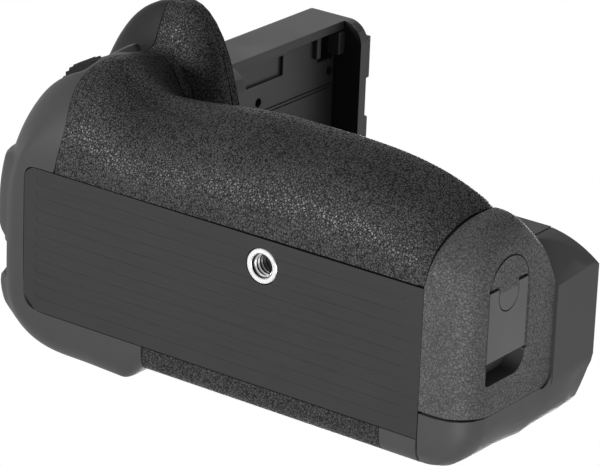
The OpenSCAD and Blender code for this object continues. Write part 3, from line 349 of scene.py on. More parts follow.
@dataclass(frozen=True)
class Streaked(Finish):
    """Matte plate with fine streaks along its ridges."""

    streak: float = 0.5
    depth: float = 0.01
    shine: float = 0.25

    def paint(self, graph: Graph) -> None:
        """Streaks that run along X over a fine grain."""
        lines = graph.noise(self.streak, 3.0, 0.65, (26.0, 1.0, 1.0))
        grain = graph.noise(0.3, 2.0)
        cloud = graph.noise(30.0, 2.0)
        tone = 0.5 + 1.1 * (lines - 0.5) + 0.4 * (grain - 0.5) + 0.5 * (cloud - 0.5)
        colour = graph.blend(tone, self.tone(0.78), self.tone(1.22))
        rough = self.rough + 0.12 * (lines - 0.5)
        relief = graph.bump(grain + lines, self.depth)
        graph.end(graph.shader(colour, rough, {"Normal": relief, "Specular IOR Level": self.shine}))


@dataclass(frozen=True)
class Metal(Finish):
    """Turned or plated metal."""

    lines: float = 0.12
    shade_from: float = 0.0
    root_r: Pair = (2.75, 3.1)
    rim_r: Pair = (4.55, 4.68)

    def paint(self, graph: Graph) -> None:
        """Fine turning lines with faint tarnish, and where a depth is given, painted shade down a threaded bore
        and in its thread roots, and darker at its flange's rim.
        """
        lines = graph.noise(self.lines, stretch=(8.0, 8.0, 1.0))
        stain = graph.noise(3.0, 3.0, 0.6)
        tarnish_and_shade = stain.ramp(0.35, 0.85)
        # painted shade: darker down the bore and in the thread roots; also darker at the flange's rim
        if self.shade_from:
            flat = graph.place(1.0, (1.0, 1.0, 1.0e6))
            reach = graph.value("VectorMath", "Value", {0: flat}, operation="LENGTH")
            depth = graph.height()
            roots = reach.ramp(*self.root_r) * depth.ramp(0.2, 0.7)
            tarnish_and_shade = 0.1 * tarnish_and_shade + depth.ramp(1.0, self.shade_from) + roots + reach.ramp(*self.rim_r)
        colour = graph.blend(tarnish_and_shade, self.tone(1.0), self.tone(0.05 if self.shade_from else 0.72))
        rough = self.rough + 0.14 * (stain - 0.5)
        graph.end(graph.shader(colour, rough, {"Metallic": 1.0, "Normal": graph.bump(lines, 0.004, 0.6)}))


@dataclass(frozen=True)
class Board(Finish):
    """Circuit board with a woven base under its lacquer."""

    weave: float = 0.5

    def paint(self, graph: Graph) -> None:
        """A glass weave and cloudy lacquer."""
        weave = graph.value("TexWave", "Fac", {"Vector": graph.place(self.weave), "Scale": 0.3, "Distortion": 1.0},
                            wave_type="BANDS", bands_direction="DIAGONAL")
        cloud = graph.noise(5.0, 3.0)
        colour = graph.blend(0.6 * weave + 0.4 * cloud, self.tone(0.7), self.tone(1.2))
        rough = self.rough + 0.1 * (cloud - 0.5)
        graph.end(graph.shader(colour, rough, {"Normal": graph.bump(weave, 0.01, 0.5), "Coat Weight": 0.3}))


RUBBER = Pebbled("grip_rubber", Slot.RUBBER, (0.055, 0.055, 0.056), 0.3)
# painted highlight along the lower part of the front rubber
LOW_LIT_RUBBER = Pebbled("low_lit_grip_rubber", Slot.RUBBER, (0.049, 0.049, 0.050), 0.3, lit_below=12.0)
SHELL_GRAIN = Pebbled("shell_grain", Slot.SHELL, (0.054, 0.054, 0.055), 0.4)
DOOR_GRAIN = Pebbled("door_grain", Slot.RUBBER, (0.085, 0.085, 0.086), 0.52, 0.85, 0.055, 0.1, 0.6, 0.3)
SHELL = Moulded("shell_plastic", Slot.SHELL, (0.060, 0.060, 0.061), 0.52, shine=0.25)
# painted shade over the cover's upper end, above 25 mm
COVER = Moulded("cover_plastic", Slot.SHELL, (0.060, 0.060, 0.061), 0.52, shine=0.15, shade_above=25.0)
STEM = Moulded("stem_plastic", Slot.SHELL, (0.042, 0.042, 0.043), 0.48)
LEVER = Moulded("lever_plastic", Slot.SHELL, (0.078, 0.078, 0.079), 0.5, 0.3, 0.006)
PLATE = Streaked("base_plate_matte", Slot.PLATE, (0.031, 0.031, 0.0315), 0.62)
# colour of the inner parts, also used as painted shade on the stem recess's roof and the plate's side walls
INNER = Moulded("inner_plastic_and_shade", Slot.INNER, (0.012, 0.012, 0.0125), 0.55, 0.4, 0.012, 0.16, 0.2)
STEEL = Metal("plated_steel", Slot.STEEL, (0.86, 0.86, 0.87), 0.22)
# painted shade down the tripod socket's bore
THREAD = Metal("threaded_insert", Slot.STEEL, (0.97, 0.97, 0.98), 0.2, 0.12, 5.0)
BRASS = Metal("gilded_contact", Slot.BRASS, (0.78, 0.56, 0.25), 0.28)
BOARD = Board("circuit_board", Slot.BOARD, (0.02, 0.10, 0.05), 0.4)
PACK = Moulded("battery_case", Slot.PACK, (0.022, 0.022, 0.024), 0.42, 0.35)

SLOT_FINISH = {finish.slot: finish for finish in (SHELL, INNER, STEEL, BRASS, BOARD, PACK)}
OWN_FINISH: dict[str, Finish] = {
    "idler_gear": INNER, "screw_gear": INNER, "power_lever": SHELL, "strap_bracket": SHELL,
    "shutter_button": STEM, "stem_back_cover": STEM, "latch_lever": LEVER,
}


# Mesh work


@dataclass
class Workshop:
    """Turns bmeshes and CAD nodes into dressed pieces on their bodies."""

    frame: dict[str, Any]
    bodies: dict[str, str] = field(default_factory=dict)
    slots: dict[str, Slot] = field(default_factory=dict)
    done: set[str] = field(default_factory=set)

    def __post_init__(self) -> None:
        """Reads which body carries each node, and each node's slot."""
        record = self.frame["record"]
        for body, nodes in record["behaviour"]["bodies"].items():
            self.bodies.update(dict.fromkeys(nodes, body))
        for row in record["subparts"]:
            self.slots[row["node"]] = Slot(row["material_slot"])

    def publish(self, bm: Mesh, node: str, finish: Finish, sharp: float = 38.0, flat: bool = True) -> Piece:
        """Makes a piece that stands for a CAD node.

        Args:
            bm: the finished mesh, which is freed.
            node: the node that it replaces.
            finish: its surface finish.
            sharp: edges steeper than this many degrees stay sharp.
            flat: keeps flat faces flat beside their eased edges.

        Returns:
            The new object.
        """
        mesh = mesh_of(f"{node}_look", bm)
        mesh.materials.clear()
        mesh.materials.append(finish.material())
        mesh.shade_smooth()
        mesh.set_sharp_from_angle(angle=math.radians(sharp))
        piece = placed(f"{node}_look", mesh)
        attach(piece, self.bodies[node])
        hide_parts(node)
        if flat:
            piece.modifiers.new("flat_faces", "WEIGHTED_NORMAL").keep_sharp = True
        self.done.add(node)
        LOG.info("%s: %d faces, %s", piece.name, len(mesh.polygons), finish.name)
        return piece

    def merged(self, node: str) -> Mesh:
        """A merged copy of a CAD node, with its flat triangles joined."""
        bm = bmesh.new()
        bm.from_mesh(self.frame["nodes"][node].data)
        weld(bm)
        bmesh.ops.dissolve_limit(bm, angle_limit=math.radians(0.6), verts=bm.verts, edges=bm.edges)
        return bm

    def softened(self, node: str, finish: Finish, width: float) -> None:
        """Makes a piece from a CAD node's copy, with its sharp edges eased by a small round."""
        bm = self.merged(node)
        ease(bm, width)
        self.publish(bm, node, finish)


def mesh_of(name: str, bm: Mesh) -> bpy.types.Mesh:
    """Mesh data from a bmesh, which is freed."""
    mesh = bpy.data.meshes.new(name)
    bm.to_mesh(mesh)
    bm.free()
    return mesh


def placed(name: str, data: bpy.types.ID) -> Piece:
    """A new object in the scene."""
    made = bpy.data.objects.new(name, data)
    bpy.context.scene.collection.objects.link(made)
    return made


def weld(bm: Mesh, apart: float = 0.002) -> None:
    """Joins corners that are less than so many millimetres apart."""
    bmesh.ops.remove_doubles(bm, verts=bm.verts, dist=apart * MM)


def close_holes(bm: Mesh) -> None:
    """Fills every open border."""
    bmesh.ops.holes_fill(bm, edges=[e for e in bm.edges if e.is_boundary], sides=0)


def ease(bm: Mesh, width: float, sharp: float = 40.0) -> None:
    """Bevels every edge steeper than sharp degrees."""
    edges = [e for e in bm.edges if len(e.link_faces) == 2 and e.calc_face_angle(0.0) > math.radians(sharp)]
    bmesh.ops.bevel(bm, geom=edges, offset=width * MM, affect="EDGES", segments=2, profile=0.5, material=-1,
                    clamp_overlap=True)


def carve(bm: Mesh, cutters: Iterable[Mesh], wall: float = 0.0) -> Mesh:
    """Cuts closed shapes out of a mesh.

    Args:
        bm: the mesh to cut, which is freed.
        cutters: closed shapes, which are freed.
        wall: depth in millimetres of the wall that an open sheet gets first.

    Returns:
        The cut mesh.
    """
    body = placed("carved", mesh_of("carved", bm))
    if wall:
        add_wall(body, wall)
    tools = [placed("cutter", mesh_of("cutter", cutter)) for cutter in cutters]
    for tool in tools:
        settle(body.modifiers.new("cut", "BOOLEAN"), operation="DIFFERENCE", solver="EXACT", object=tool)
    evaluated = body.evaluated_get(bpy.context.evaluated_depsgraph_get())
    result = bmesh.new()
    result.from_mesh(evaluated.to_mesh())
    evaluated.to_mesh_clear()
    for item in (body, *tools):
        mesh = item.data
        bpy.data.objects.remove(item)
        bpy.data.meshes.remove(mesh)
    return result


def rod(radius: float, start: Vector, end: Vector, segments: int = 64) -> Mesh:
    """A closed cylinder between two points in millimetres."""
    bm = bmesh.new()
    axis = end - start
    turn = axis.to_track_quat("Z", "Y").to_matrix().to_4x4()
    place = Matrix.Translation((start + end) * 0.5 * MM) @ turn
    bmesh.ops.create_cone(bm, cap_ends=True, segments=segments, radius1=radius * MM, radius2=radius * MM,
                          depth=axis.length * MM, matrix=place)
    return bm


def prism(outline: Sequence[Pair], place: Callable[[float, float, float], Vector], start: float,
          end: float) -> Mesh:
    """A closed prism.

    Args:
        outline: corners of its section.
        place: gives the point, in millimetres, of a corner and a height along the prism.
        start: height of its first end.
        end: height of its second end.

    Returns:
        The prism, with its faces pointing outwards.
    """
    bm = bmesh.new()
    face = bm.faces.new([bm.verts.new(place(a, b, start) * MM) for a, b in outline])
    moved = bmesh.ops.extrude_face_region(bm, geom=[face])["geom"]
    shift = (place(0.0, 0.0, end) - place(0.0, 0.0, start)) * MM
    bmesh.ops.translate(bm, vec=shift, verts=[v for v in moved if isinstance(v, bmesh.types.BMVert)])
    bmesh.ops.recalc_face_normals(bm, faces=bm.faces)
    return bm


def arc(a: float, b: float, radius: float, start: float, end: float, steps: int = 10) -> list[Pair]:
    """Points along an arc about (a, b), between two angles in degrees."""
    turns = [math.radians(mix(start, end, k / steps)) for k in range(steps + 1)]
    return [(a + radius * math.cos(t), b + radius * math.sin(t)) for t in turns]


def repaint(piece: Piece, finish: Finish, chosen: Callable[[Vector, Vector], bool]) -> None:
    """Gives another finish to the faces chosen by their centre, in millimetres, and their normal."""
    piece.data.materials.append(finish.material())
    for face in piece.data.polygons:
        if chosen(face.center / MM, face.normal):
            face.material_index = 1


def block(low: Sequence[float], high: Sequence[float]) -> Mesh:
    """A closed box between two corners in millimetres."""
    bm = bmesh.new()
    a, b = Vector(low), Vector(high)
    place = Matrix.Translation((a + b) * 0.5 * MM) @ Matrix.Diagonal((*((b - a) * MM), 1.0))
    bmesh.ops.create_cube(bm, size=1.0, matrix=place)
    return bm


def sheet(columns: int, rows: int, place: Callable[[float, float], Vector]) -> Mesh:
    """A grid laid on a surface.

    Args:
        columns: faces along the first direction.
        rows: faces along the second direction.
        place: gives the point, in metres, of two fractions from 0 to 1.

    Returns:
        The grid.
    """
    bm = bmesh.new()
    bmesh.ops.create_grid(bm, x_segments=columns, y_segments=rows, size=0.5)
    for vert in bm.verts:
        vert.co = place(vert.co.x + 0.5, vert.co.y + 0.5)
    return bm


# The grip's moulded surface


@dataclass(frozen=True)
class GripSurface:
    """The moulded outer surface, as a function of u round the body and v up it.

    u runs from -2 on the back, over the shutter end at 0, along the front from 1 to 2. v runs from 0 at the
    base plate over the rounded bottom to 1, and to 2 at the mating face.
    """

    body_h: float = 50.0
    crest_z: float = 22.0
    hump_x: float = -62.0
    valley_x: float = -46.0
    main_x: float = -8.0
    hump_depth: float = 34.0
    valley_depth: float = 27.5
    main_depth: float = 31.0
    door_depth: float = 22.5
    groove_top: float = 38.0
    upper_depths: Pair = (31.0, 9.4)
    upper_fall: float = 18.0
    upper_hump: Pair = (17.4, 42.3)
    upper_hump_z: Pair = (28.0, 46.0)
    hump_blend: float = 4.0
    end_round: float = 13.5
    back_round: float = 7.5
    back_foot: float = 31.95
    back_y: float = 39.3
    thumb_rest: float = 5.0
    thumb_rise: float = 8.0
    corner_full: Pair = (2.09, 2.3)
    corner_full_z: Pair = (22.0, 42.0)
    back_full: float = 2.75
    edge_u: tuple[float, ...] = (0.998, 0.888, 0.98, 0.922)
    left_end: float = 89.5
    plate_left: float = 76.25
    plate_front: float = 7.45
    plate_right: float = 48.0
    front_end_lean: float = 3.0
    corner_y: float = 8.0
    back_corner_y: float = 18.0
    rear_x0: float = -37.0
    rubber_top: float = 1.5
    hump_top: float = 1.9
    rubber_t: float = 1.2
    shell_t: float = 2.0
    hump_share: float = (13.0 / 40.0) ** 1.35
    probe: float = 0.004

    def crest(self, x: float) -> float:
        """Depth of the bulge's crest in front of the socket."""
        hump, valley, main = self.hump_x, self.valley_x, self.main_x
        if x < valley:
            return mix(self.hump_depth, self.valley_depth, step(x, hump, valley))
        if x < main:
            return mix(self.valley_depth, self.main_depth, step(x, valley, main))
        share = (x - main) / (self.plate_right + self.front_end_lean - main)
        return self.main_depth - (self.main_depth - self.door_depth) * share ** 4.0

    def front_depth(self, x: float, z: float) -> float:
        """Depth of the front at a place and a height."""
        if z <= self.crest_z:
            return self.crest(x)
        falling = 1.0 - step(z, self.crest_z, self.groove_top)
        past = x - self.hump_x
        low = mix(mix(*self.upper_depths, smooth(past / self.upper_fall)), self.crest(x), falling)
        length, depth = self.upper_hump
        k = past / length
        high = 0.0 if k >= 1.0 else depth * math.sqrt(1.0 - k * k) * step(z, *self.upper_hump_z)
        if high < 1.0:
            return low
        soft = min(self.hump_blend, high)
        return (low + high + math.sqrt((low - high) ** 2 + soft * soft)) / 2.0

    def round_height(self, u: float) -> float:
        """Height of the rounding along the bottom."""
        if u >= 1.0:
            return self.crest_z
        if u >= 0.0:
            return mix(self.end_round, self.crest_z, smooth(u))
        if u >= -1.0:
            return mix(self.back_round, self.end_round, smooth(u + 1.0))
        return self.back_round

    def seam_x(self, z: float) -> float:
        """Where the bulge ends beside the door."""
        return self.plate_right + self.front_end_lean * min(1.0, z / self.crest_z)

    def back_depth(self, x: float, g: float) -> float:
        """Depth of the back, with the thumb rest."""
        rest = self.thumb_rest * smooth((self.rear_x0 - x - 0.5) / self.thumb_rise)
        return mix(self.back_foot, self.back_y + rest, g)

    def corner_fullness(self, z: float) -> float:
        """Exponent of the shutter end's front corner at a height."""
        return mix(*self.corner_full, step(z, *self.corner_full_z))

    def point(self, u: float, v: float) -> Vector:
        """Point of the surface in millimetres."""
        r = self.round_height(u)
        q = 2.0 / (2.0 + 0.5 * min(1.0, max(0.0, -2.0 * u)) + 0.9 * smooth(-1.0 - u))
        g = sin_deg(90.0 * v) ** q if v <= 1.0 else 1.0
        z = r * (1.0 - cos_deg(90.0 * v) ** q) if v <= 1.0 else mix(r, self.body_h, v - 1.0)
        foot = 1.0 - g
        p = 2.0 / (mix(self.back_full, 6.0, foot ** 2.5) if u < 0.0
                   else mix(self.corner_fullness(z), 10.0, foot ** 5.0))
        side = mix(self.plate_left, self.left_end, g)
        if u >= 1.0:
            x = mix(self.hump_x, self.seam_x(z), u - 1.0)
            return Vector((x, -mix(self.plate_front, self.front_depth(x, z), g), z))
        along = cos_deg(90.0 * u) ** p
        if u >= 0.0:
            depth = mix(self.plate_front, self.front_depth(self.hump_x, z), g)
            across = self.corner_y - (self.corner_y + depth) * sin_deg(90.0 * u) ** p
            return Vector((self.hump_x - (side + self.hump_x) * along, across, z))
        if u >= -1.0:
            across = max(0.0, sin_deg(-90.0 * u)) ** p
            base = mix(self.corner_y, self.back_corner_y, min(1.0, -4.0 * u))
            y = base + (self.back_depth(self.hump_x, g) - self.back_corner_y) * across
            return Vector((self.hump_x - (side + self.hump_x) * along, y, z))
        x = mix(self.rear_x0, self.hump_x, u + 2.0)
        return Vector((x, self.back_depth(x, g), z))

    def normal(self, u: float, v: float) -> Vector:
        """Outward normal of the surface."""
        s = self.probe
        a = self.point(min(2.0, u + s), v) - self.point(max(-2.0, u - s), v)
        b = self.point(u, min(2.0, v + s)) - self.point(u, max(0.0, v - s))
        return a.cross(b).normalized()

    def rubber_edge(self, v: float) -> float:
        """Left edge of the front rubber: at the plate, on the bulge, in the groove above it and on the hump."""
        plate, bulge, groove, hump = self.edge_u
        if v < 0.6:
            return mix(plate, bulge, smooth(v / 0.6))
        if v < 1.25:
            return mix(bulge, groove, smooth((v - 0.62) / 0.55))
        return mix(groove, hump, smooth((v - 1.25) / 0.3))

    @staticmethod
    def edge_gap(v: float) -> float:
        """Half of the seam beside the front rubber, as a share of u."""
        return mix(0.0006, 0.0014, smooth(v / 0.3))

    def lifted(self, u: float, v: float, lift: float) -> Vector:
        """Point off the surface, in metres."""
        return (self.point(u, v) + lift * self.normal(u, v)) * MM


@dataclass
class Skins:
    """Grip rubber and the moulded cover of the shutter end."""

    shop: Workshop
    grip: GripSurface
    spread: float = 1.35
    row_gap: float = 0.012
    dial: Triple = (-71.8, -19.8, 21.0)
    dial_r: float = 11.0
    dial_w: float = 6.6
    strap_slot: Triple = (-83.6, 16.4, 26.4)
    roll: float = 0.5
    roll_from: float = 1.962
    plate_gap: float = 0.008
    pad_lift: float = 1.7
    dial_dip: float = 2.2
    patch_lift: float = 1.6
    groove_v: Pair = (0.86, 0.76)
    groove_w: float = 0.085
    groove_d: Pair = (1.5, 1.1)
    end_x: float = -64.0
    pad_y: Pair = (-8.0, 16.0)
    pad_z: Pair = (2.0, 30.0)
    dip_u: Pair = (0.48, 0.9)
    dip_z: Pair = (12.0, 34.0)
    patch_y: Pair = (26.4, 39.0)
    shutter_uv: Pair = (0.775, 1.46)
    shutter_turn: float = 235.0
    shutter_r: float = 4.9
    lever_at: Pair = (6.0, 38.0)
    lever_r: float = 3.3
    buttons_at: Triple = (-56.0, 30.0, 34.0)
    button_gap: float = 8.6
    button_r: float = 3.4
    bore_l: float = 12.0
    outside_x: float = -99.0

    def build(self) -> None:
        """Makes the three skins."""
        grip = self.grip
        for piece in (
            self.skin("front_grip_rubber", LOW_LIT_RUBBER, 0.0, grip.rubber_top,
                      lambda v: 2.0, 170, 84, self.spread),
            self.skin("hump_grip_rubber", RUBBER, grip.rubber_top + self.row_gap, grip.hump_top,
                      lambda v: mix(self.front_start(v), 2.0, grip.hump_share), 56, 24),
        ):
            add_wall(piece, grip.rubber_t)
            settle(piece.modifiers.new("rim", "BEVEL"), width=0.25 * MM, segments=2, limit_method="ANGLE",
                   angle_limit=math.radians(50.0))
        self.cover()

    def front_start(self, v: float) -> float:
        """First u of the front rubber."""
        return self.grip.rubber_edge(v) + self.grip.edge_gap(v)

    def groove(self, u: float, v: float) -> float:
        """Depth of the shallow groove for the fingers above the bulge."""
        along = smooth((u - 1.05) / 0.35)
        across = (v - mix(*self.groove_v, along)) / self.groove_w
        ends = window(u, 0.98, 1.97, 0.1, 0.12)
        return mix(*self.groove_d, along) * ends * math.exp(-across * across)

    def skin(self, node: str, finish: Finish, v0: float, v1: float, last: Callable[[float], float],
             columns: int, rows: int, spread: float = 1.0) -> Piece:
        """Lays a sheet on the grip's surface between two rows, from the front rubber's edge to a last u."""

        def place(i: float, j: float) -> Vector:
            v = mix(v0, v1, j)
            u = mix(self.front_start(v), last(v), i ** spread)
            v += self.plate_gap * max(0.0, 1.0 - 8.0 * v) * smooth((u - 1.1) / 0.6)
            roll = self.roll * step(u, self.roll_from, 2.0) ** 2
            return self.grip.lifted(u, v, -roll - self.groove(u, v))

        return self.shop.publish(sheet(columns, rows, place), node, finish, flat=False)

    def cover_place(self, i: float, j: float) -> Vector:
        """Point of the cover, with its end's raised pad, the patch by the strap slot and the dial's dip."""
        v = 2.0 * j
        u = mix(-2.0, self.grip.rubber_edge(v) - self.grip.edge_gap(v), i)
        at = self.grip.point(u, v)
        lift = 0.0
        if at.x < self.end_x:
            low = window(at.z, *self.pad_z, 4.0)
            lift = self.pad_lift * low * window(at.y, *self.pad_y, 2.5)
            lift -= self.dial_dip * window(u, *self.dip_u, 0.14, 0.1) * window(at.z, *self.dip_z, 5.0)
            lift += self.patch_lift * low * window(at.y, *self.patch_y, 1.2, 6.0)
        return self.grip.lifted(u, v, lift)

    def cover(self) -> None:
        """Makes the shutter end's cover with its openings."""
        grip = self.grip
        x, y0, y1 = self.strap_slot
        dial = Vector(self.dial)
        shutter = grip.point(*self.shutter_uv)
        turn = math.radians(self.shutter_turn)
        out = Vector((math.cos(turn), math.sin(turn), 0.0))
        up = Vector((0.0, 0.0, 1.0))
        cutters = [
            block((self.outside_x, y0, -1.0), (x, y1, 17.0)),
            rod(self.dial_r + 1.0, dial - 0.5 * up, dial + (self.dial_w + 0.4) * up, 96),
            rod(self.shutter_r, shutter - self.bore_l * out, shutter + self.bore_l * out, 96),
            rod(self.lever_r, Vector((self.outside_x, *self.lever_at)), Vector((-81.5, *self.lever_at))),
        ]
        for k in (-1.0, 0.0, 1.0):
            at = Vector(self.buttons_at) + Vector((self.button_gap * k, 0.0, 0.0))
            cutters.append(rod(self.button_r, at, at + Vector((0.0, 30.0, 0.0))))
        bm = carve(sheet(150, 88, self.cover_place), cutters, grip.shell_t)
        self.shop.publish(bm, "shutter_end_cover", COVER, 42.0)


def add_wall(piece: Piece, depth: float) -> None:
    """Gives an open sheet a wall towards the inside, of a depth in millimetres."""
    settle(piece.modifiers.new("wall", "SOLIDIFY"), thickness=depth * MM, offset=-1.0)


@dataclass
class MagazineDoor:
    """Magazine door with the latch's seat, pocket and finger scoop."""

    shop: Workshop
    grip: GripSurface
    end: float = 62.0
    rounding: float = 9.0
    back: float = 24.85
    top: float = 36.0
    front: float = 7.2
    top_front: float = 10.4
    shares: tuple[float, ...] = (0.04, 0.13, 0.30, 0.70, 0.88)
    flat_share: float = 0.3
    latch: Pair = (-6.5, 15.6)
    latch_r: float = 8.1
    lever_l: float = 17.7
    gap: float = 0.3
    seam: float = 0.12
    top_r: float = 4.0
    roll: float = 0.4
    pocket_d: float = 3.0
    scoop_l: float = 5.6
    scoop_d: float = 5.0
    scoop_r: float = 4.6
    slope_at: Pair = (-1.6, 36.3)
    slope: float = 27.7
    seat_d: float = 6.3
    shaft_r: float = 3.05
    draft: float = 0.9
    lap: float = 3.0
    proud: float = 1.0
    inner_x: float = 40.0

    def profile(self, t: float, inset: float) -> Pair:
        """Point of the section, round from the top of the back edge, under the bottom and over the front."""
        crest, depth, r = self.grip.crest_z, self.grip.door_depth, self.top_r
        corner, back, under, bulge, over = self.shares
        if t < corner:
            a = 90.0 * t / corner
            return self.back - r * (1.0 - sin_deg(a)), self.top - r * (1.0 - cos_deg(a))
        if t < back:
            return self.back, mix(self.top - r, inset, (t - corner) / (back - corner))
        if t < under:
            return mix(self.back, -self.front, (t - back) / (under - back)), inset
        if t < bulge:
            a = 90.0 * (t - under) / (bulge - under)
            return (-self.front - (depth - self.front - inset) * sin_deg(a),
                    inset + (crest - inset) * (1.0 - cos_deg(a)))
        if t < over:
            z = mix(crest, self.top, (t - bulge) / (over - bulge))
            falling = 1.0 - step(z, crest, self.grip.groove_top)
            return -mix(self.top_front - inset * 0.3, depth - inset, falling), z
        start = self.profile(over - 1.0e-7, inset)[0]
        return mix(start, self.back - r, (t - over) / (1.0 - over)), self.top

    def place(self, t: float, s: float) -> Vector:
        """Point of the door's side, from the seam at s 0 to the end face at s 1, in metres."""
        x0 = self.grip.plate_right + self.seam
        flat = self.flat_share
        if s < flat:
            y, z = self.profile(t, self.roll * (1.0 - smooth(s / 0.14)) ** 2 if 0.32 < t < 0.86 else 0.0)
            lean = (self.grip.seam_x(z) - self.grip.plate_right) if y < -self.front else 0.0
            x = mix(x0 + lean, self.end - self.rounding, s / flat)
        else:
            a = 90.0 * (s - flat) / (1.0 - flat)
            y, z = self.profile(t, self.rounding * (1.0 - cos_deg(a)))
            x = self.end - self.rounding + self.rounding * sin_deg(a)
        return Vector((x, y, z)) * MM

    def form(self) -> Mesh:
        """The closed door before its cuts."""
        bm = sheet(120, 40, self.place)
        weld(bm)
        close_holes(bm)
        bmesh.ops.recalc_face_normals(bm, faces=bm.faces)
        return bm

    def cutters(self) -> list[Mesh]:
        """Disc seat, shaft hole, lever pocket, scoop and the sloped top."""
        y, z = self.latch
        end, half, tip = self.end, self.latch_r + self.gap, y + self.lever_l
        inside, outside = end - self.pocket_d, end + self.proud
        seat = rod(half, Vector((end - self.seat_d, y, z)), Vector((outside, y, z)), 96)
        shaft = rod(self.shaft_r, Vector((self.inner_x, y, z)), Vector((end, y, z)))
        pocket = prism([(inside, z - half), (outside, z - half),
                        (outside, z + half + self.draft), (inside, z + half)],
                       lambda a, b, h: Vector((a, h, b)), y, tip + self.gap)
        low, high, far, r = z - self.latch_r, z + self.latch_r, tip + self.scoop_l, self.scoop_r
        scoop = prism([(tip - self.lap, low), *arc(far - 1.0, low + 1.0, 1.0, -90.0, 0.0),
                       *arc(far - r, high - r, r, 0.0, 90.0), (tip - self.lap, high)],
                      lambda a, b, h: Vector((h, a, b)), end - self.scoop_d, outside)
        slope = block((self.inner_x, -60.0, 0.0), (80.0, 0.0, 60.0))
        turn = Matrix.Rotation(math.radians(self.slope), 4, "X")
        place = Matrix.Translation(Vector((0.0, *self.slope_at)) * MM)
        bmesh.ops.transform(slope, matrix=place @ turn, verts=slope.verts)
        return [seat, shaft, pocket, scoop, slope]

    def build(self) -> None:
        """Makes the door."""
        bm = carve(self.form(), self.cutters())
        bmesh.ops.dissolve_degenerate(bm, dist=0.001 * MM, edges=bm.edges)
        piece = self.shop.publish(bm, "magazine_door", DOOR_GRAIN)
        y, z = self.latch
        low, high = y + self.lever_l - 0.4, y + self.lever_l + self.scoop_l + 0.1
        repaint(piece, SHELL, lambda at, n: at.x < self.end - 0.1 and low < at.y < high
                and abs(at.z - z) < self.latch_r + 0.1 and at.x > self.end - self.scoop_d - 0.1)


# Threads


@dataclass
class Threads:
    """Tripod socket and mounting screw with their quarter-inch threads."""

    shop: Workshop
    major: float = 3.175
    minor: float = 2.6
    pitch: float = 1.27
    steps: int = 48
    flange: float = 4.7
    plate_t: float = 2.4
    wall: float = 1.1
    depth: float = 7.0
    cap: float = 0.9
    deck: float = 50.0
    out: float = 6.0
    chamfer: float = 0.2
    flange_edge: float = 0.3
    screw_edge: float = 0.6
    sunk: float = 0.1
    socket_turns: float = 4.6
    screw_turns: float = 3.4
    sharp: float = 30.0

    def lathe(self, outline: Sequence[Pair]) -> Mesh:
        """Turns an outline of radii and heights about the Z axis."""
        bm = bmesh.new()
        verts = [bm.verts.new(Vector((r, 0.0, z)) * MM) for r, z in outline]
        edges = [bm.edges.new(pair) for pair in zip(verts, verts[1:])]
        bmesh.ops.spin(bm, geom=[*verts, *edges], cent=(0.0, 0.0, 0.0), axis=(0.0, 0.0, 1.0), angle=math.tau,
                       steps=96, use_merge=True)
        weld(bm)
        bmesh.ops.recalc_face_normals(bm, faces=bm.faces)
        return bm

    def helix(self, bm: Mesh, root: float, tip: float, start: float, turns: float) -> None:
        """Adds a winding ridge from the root radius to the tip radius."""
        p = self.pitch
        corners = [(root, 0.0), (tip, 0.40 * p), (tip, 0.56 * p), (root, 0.96 * p)]
        face = bm.faces.new([bm.verts.new(Vector((r, 0.0, start + h)) * MM) for r, h in corners])
        count = round(turns * self.steps)
        bmesh.ops.spin(bm, geom=[face, *face.edges, *face.verts], cent=(0.0, 0.0, 0.0), axis=(0.0, 0.0, 1.0),
                       dvec=(0.0, 0.0, p * MM / self.steps), angle=math.tau * turns, steps=count)
        bmesh.ops.recalc_face_normals(bm, faces=bm.faces)
        LOG.info("thread: %d steps", count)

    def build(self) -> None:
        """Makes both threaded pieces."""
        bore, wall, bottom = self.major, self.major + self.wall, self.depth + self.cap
        flange, edge = self.flange, self.flange_edge
        socket = self.lathe([(0.0, self.depth), (bore, self.depth), (bore, self.chamfer),
                             (bore + self.chamfer, 0.0), (flange - edge, 0.0), (flange, edge),
                             (flange, self.plate_t), (wall, self.plate_t), (wall, bottom), (0.0, bottom)])
        self.helix(socket, bore + self.sunk, self.minor, 0.25, self.socket_turns)
        self.shop.publish(socket, "tripod_socket", THREAD, self.sharp, False)
        screw = self.shop.merged("mounting_screw")
        bmesh.ops.bisect_plane(screw, geom=[*screw.verts, *screw.edges, *screw.faces], clear_outer=True,
                               plane_co=(0.0, 0.0, (self.deck + 0.01) * MM), plane_no=(0.0, 0.0, 1.0))
        close_holes(screw)
        foot, top, edge = self.deck - 0.5, self.deck + self.out, self.screw_edge
        core = self.lathe([(0.0, foot), (self.minor, foot), (self.minor, top - edge), (self.minor - edge, top),
                           (0.0, top)])
        self.helix(core, self.minor - self.sunk, self.major, self.deck + 0.2, self.screw_turns)
        join(screw, core)
        self.shop.publish(screw, "mounting_screw", STEEL, self.sharp, False)


def join(bm: Mesh, other: Mesh) -> None:
    """Adds a second mesh to the first and frees it."""
    mesh = mesh_of("passing", other)
    bm.from_mesh(mesh)
    bpy.data.meshes.remove(mesh)


# Remaining nodes


